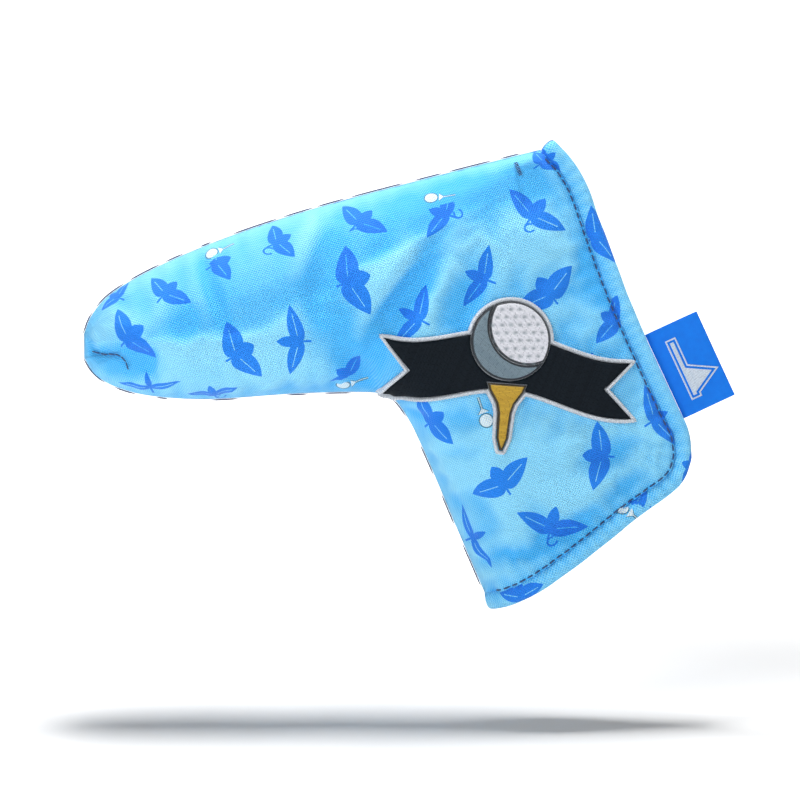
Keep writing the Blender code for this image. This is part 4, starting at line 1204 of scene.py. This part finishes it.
twill_white = embroidery(
    "patch_twill_white", (0.80, 0.85, 0.90), (0.62, 0.68, 0.74), 0.3, rough=0.7, length=1.2
)
edge_white = embroidery("patch_edge_thread", (0.84, 0.88, 0.92), (0.60, 0.66, 0.72), 0.3, rough=0.5)
satin_black = embroidery(
    "black_satin_stitch", (0.007, 0.014, 0.022), (0.002, 0.006, 0.011), 0.0, rough=0.6, length=2.2, gloss=0.12
)
INK = (0.006, 0.012, 0.02)
satin_white = embroidery("white_satin_stitch", (0.90, 0.91, 0.95), (0.78, 0.80, 0.86), 0.2, INK)
satin_grey = embroidery("grey_satin_stitch", (0.24, 0.33, 0.38), (0.15, 0.23, 0.28), 0.2, INK)
satin_gold = embroidery(
    "gold_satin_stitch", (0.72, 0.46, 0.03), (0.50, 0.29, 0.01), 0.2, (0.02, 0.014, 0.004), rough=0.35
)

backing = raised_piece("patch_backing", device_shape(1.4, 0.9), over_front, 0.25, 0.8, 0.3, twill_white, 45)
bend_at_fold(backing)
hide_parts("patch_backing_sleeve", "patch_backing_leaf")



def stitched_shape(whole, holes, step):
    """What is inside one outline and clear of the others."""
    def keep(points):
        return inside(whole, points) & ~np.any([inside(hole, points) for hole in holes], axis=0)

    return filled([whole, *holes], keep, step)


ball_room, tee_room, shade_room = (grown(line, STITCH_GAP) for line in (ball_line, tee_line, shade_line))
ribbon_shape = stitched_shape(banner, [ball_room, tee_room], 0.6)
ribbon = raised_piece("patch_ribbon", ribbon_shape, over_front, 1.0, 1.75, 0.45, satin_black, 68)
bend_at_fold(ribbon)
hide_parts("patch_ribbon_sleeve", "patch_ribbon_leaf")

loop_flat, _, loops = device_shape(0.85, 0.5)
edge_loop = loop_flat[max(loops, key=len)]
edge_loop = np.vstack([edge_loop, edge_loop[:1]])
edge_length = length_of(edge_loop)
edge_count = int(edge_length / 0.24)
edge_flat = spaced(edge_loop, np.arange(edge_count) / edge_count)
for _ in range(3):
    edge_flat = (np.roll(edge_flat, 1, axis=0) + 2 * edge_flat + np.roll(edge_flat, -1, axis=0)) / 4
edge_run = unit(np.roll(edge_flat, -1, axis=0) - np.roll(edge_flat, 1, axis=0))
edge_out = np.stack([edge_run[:, 1], -edge_run[:, 0]], axis=1)
wrap = np.linspace(0, 2 * np.pi, 12, endpoint=False)
edge_s = np.arange(edge_count) * edge_length / edge_count
turns_round = round(edge_length / 0.95)
ridge = 1 + 0.13 * np.sin(2 * np.pi * turns_round * edge_s[:, None] / edge_length + wrap[None])
centre_at = over_front(edge_flat, np.full(edge_count, 1.0))
face_out = over_front(edge_flat, np.full(edge_count, 2.0)) - centre_at
flat_out = upright(edge_out, 0.0)
wide_part = 0.62 * np.cos(wrap)[None, :, None] * flat_out[:, None]
border_rings = centre_at[:, None] + ridge[..., None] * (
    wide_part + 0.72 * np.sin(wrap)[None, :, None] * face_out[:, None]
)
border = tube("patch_border", border_rings, edge_white, BACK, closed=True)
thread_run = np.broadcast_to(wrap[None] * 0.6, ridge.shape)
set_vectors(border, "stitch", np.stack([thread_run, edge_s[:, None] + wrap[None] * 0.15, ridge * 0], axis=-1))
bend_at_fold(border)
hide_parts("patch_border_sleeve", "patch_border_leaf")

ball_shape = filled([ball_line, shade_line], lambda p: inside(ball_line, p) & inside(shade_line, p), 0.42)
shade_shape = stitched_shape(ball_line, [shade_room, tee_room], 0.42)
for name, shape, material, turn, slot, dents in (
    ("patch_ball", ball_shape, satin_white, 12, "white_thread", ball_dimples),
    ("patch_ball_shade", shade_shape, satin_grey, -40, "grey_thread", None),
    ("patch_tee", stitched_shape(tee_line, [ball_room], 0.42), satin_gold, 5, "gold_thread", None),
):
    raised = raised_piece(f"{name}_stitching", shape, over_front, 1.0, 1.95, 0.5, material, turn, dents)
    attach(raised, "sleeve")
    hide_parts(name)

# ---------------------------------------------------------------- woven label
# A damask ribbon folded in half, with its two ends caught in the front hem. It stands out
# from the edge with a slight curl, and its pennant on a stick is woven in white.
LABEL_ROOT = np.array([25.161, 56.747])
LABEL_RUN, LABEL_OUT = np.array([0.426023, -0.904712]), np.array([0.904712, 0.426023])
LABEL_REACH, LABEL_HALF, LABEL_DEPTH = 18.6, 15.5, -1.1
RIBBON_HALF, RIBBON_APART = 0.22, 0.33
damask, g, shader = new_material("blue_damask")
ribs = g.group(canvas_weave, Pitch=0.42, Unevenness=0.15)
tones = g.noise("cloth", 0.4, 2.0)
blue = g.mix(tones, (0.003, 0.155, 0.74, 1), (0.006, 0.225, 0.86, 1))
# Painted shade in the gaps between the ribs.
g.put(shader.inputs["Base Color"], g.mix(g.times(ribs["Hollow"], 0.45), blue, (0.0, 0.08, 0.50, 1)))
g.put(shader.inputs["Roughness"], g.math("MULTIPLY_ADD", tones, 0.2, 0.50))
g.bump(shader, ribs["Height"], 0.5, 0.00010)
shader.inputs["Specular IOR Level"].default_value = 0.18
label_thread = embroidery(
    "label_white_thread", (0.82, 0.90, 0.97), (0.66, 0.78, 0.90), 0.1, rough=0.55, length=2.0
)


def label_place(out, run, y):
    """A place on the label from its distances outwards and along, with the label's curl."""
    curl = (np.clip(out, 0, None) / LABEL_REACH) ** 2 * (0.9 * np.sin(run / 9.5 + 0.5) - 0.5)
    flat = LABEL_ROOT + out[..., None] * LABEL_OUT + run[..., None] * LABEL_RUN
    return upright(flat, LABEL_DEPTH + y + curl)


def folded_strip(name, path, half_thickness, material):
    """A strip of ribbon that follows an (outwards, depth) path, as a closed piece."""
    offset = np.broadcast_to(half_thickness, len(path))[:, None] * across(path)
    ring = np.vstack([path + offset, (path - offset)[::-1]])
    stations = np.linspace(-LABEL_HALF, LABEL_HALF, 60)
    out, run = np.broadcast_arrays(ring[:, 0], stations[:, None])
    points = label_place(out, run, ring[:, 1])
    count, around = points.shape[:2]
    index = np.arange(count * around).reshape(count, around)
    a, b = index[:-1], index[1:]
    corners = np.stack([a, b, np.roll(b, -1, axis=1), np.roll(a, -1, axis=1)], axis=-1)
    faces = [tuple(f) for f in corners.reshape(-1, 4)]
    low, high = index[0], index[-1]
    for k in range(len(path) - 1):
        faces.append((low[k], low[k + 1], low[around - 2 - k], low[around - 1 - k]))
        faces.append((high[k + 1], high[k], high[around - 1 - k], high[around - 2 - k]))
    made = mesh_object(name, points.reshape(-1, 3), faces, material, 60)
    along = np.concatenate([[0], np.cumsum(np.linalg.norm(np.diff(path, axis=0), axis=1))])
    flat = np.broadcast_arrays(np.concatenate([along, along[::-1]])[None], stations[:, None], 0.0)
    set_vectors(made, "cloth", np.stack(flat, axis=-1).reshape(-1, 3))
    return made


# The two layers are pressed thin and close at the root, so that the label can swing there.
bend = np.linspace(-np.pi / 2, np.pi / 2, 9)[1:-1]
fold_at = LABEL_REACH - RIBBON_HALF - RIBBON_APART
reach_out = np.linspace(-0.3, fold_at, 36)
sprung = np.clip((reach_out + 0.3) / 3.0, 0, 1)
apart, strip_half = 0.14 + (RIBBON_APART - 0.14) * sprung, 0.12 + (RIBBON_HALF - 0.12) * sprung
label_path = np.vstack([
    np.stack([reach_out, -apart], axis=1),
    np.stack([fold_at + RIBBON_APART * np.cos(bend), RIBBON_APART * np.sin(bend)], axis=1),
    np.stack([reach_out, apart], axis=1)[::-1],
])
strip_half = np.concatenate([strip_half, np.full(len(bend), RIBBON_HALF), strip_half[::-1]])
flap = folded_strip("label_fold", label_path, strip_half, damask)
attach(flap, "label")
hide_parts("label_flap")
tail_path = np.stack([np.linspace(-4.0, -0.45, 8), np.zeros(8)], axis=1)
tail = folded_strip("label_tail_ribbon", tail_path, 0.3, damask)
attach(tail, "front_leaf")
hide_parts("label_tail")
pennant = np.array([(6.0, -9.4), (7.3, -9.4), (7.3, 0.2), (15.0, 4.6), (7.3, 9.0), (7.3, 9.8), (6.0, 9.8)])
pennant_edge, pennant_ring = grown(pennant, 0.75), grown(pennant, 1.25)


def on_label(flat, above):
    return label_place(flat[:, 0], flat[:, 1], -0.56 - above)


def on_pennant(points):
    """Whether each point is in the pennant or in the line woven round it."""
    return inside(pennant, points) | (inside(pennant_ring, points) & ~inside(pennant_edge, points))


device_lines = filled([pennant, pennant_edge, pennant_ring], on_pennant, 0.45)
woven_pennant = raised_piece("woven_pennant", device_lines, on_label, 0.02, 0.34, 0.2, label_thread, 90)
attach(woven_pennant, "label")
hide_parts("label_flag")
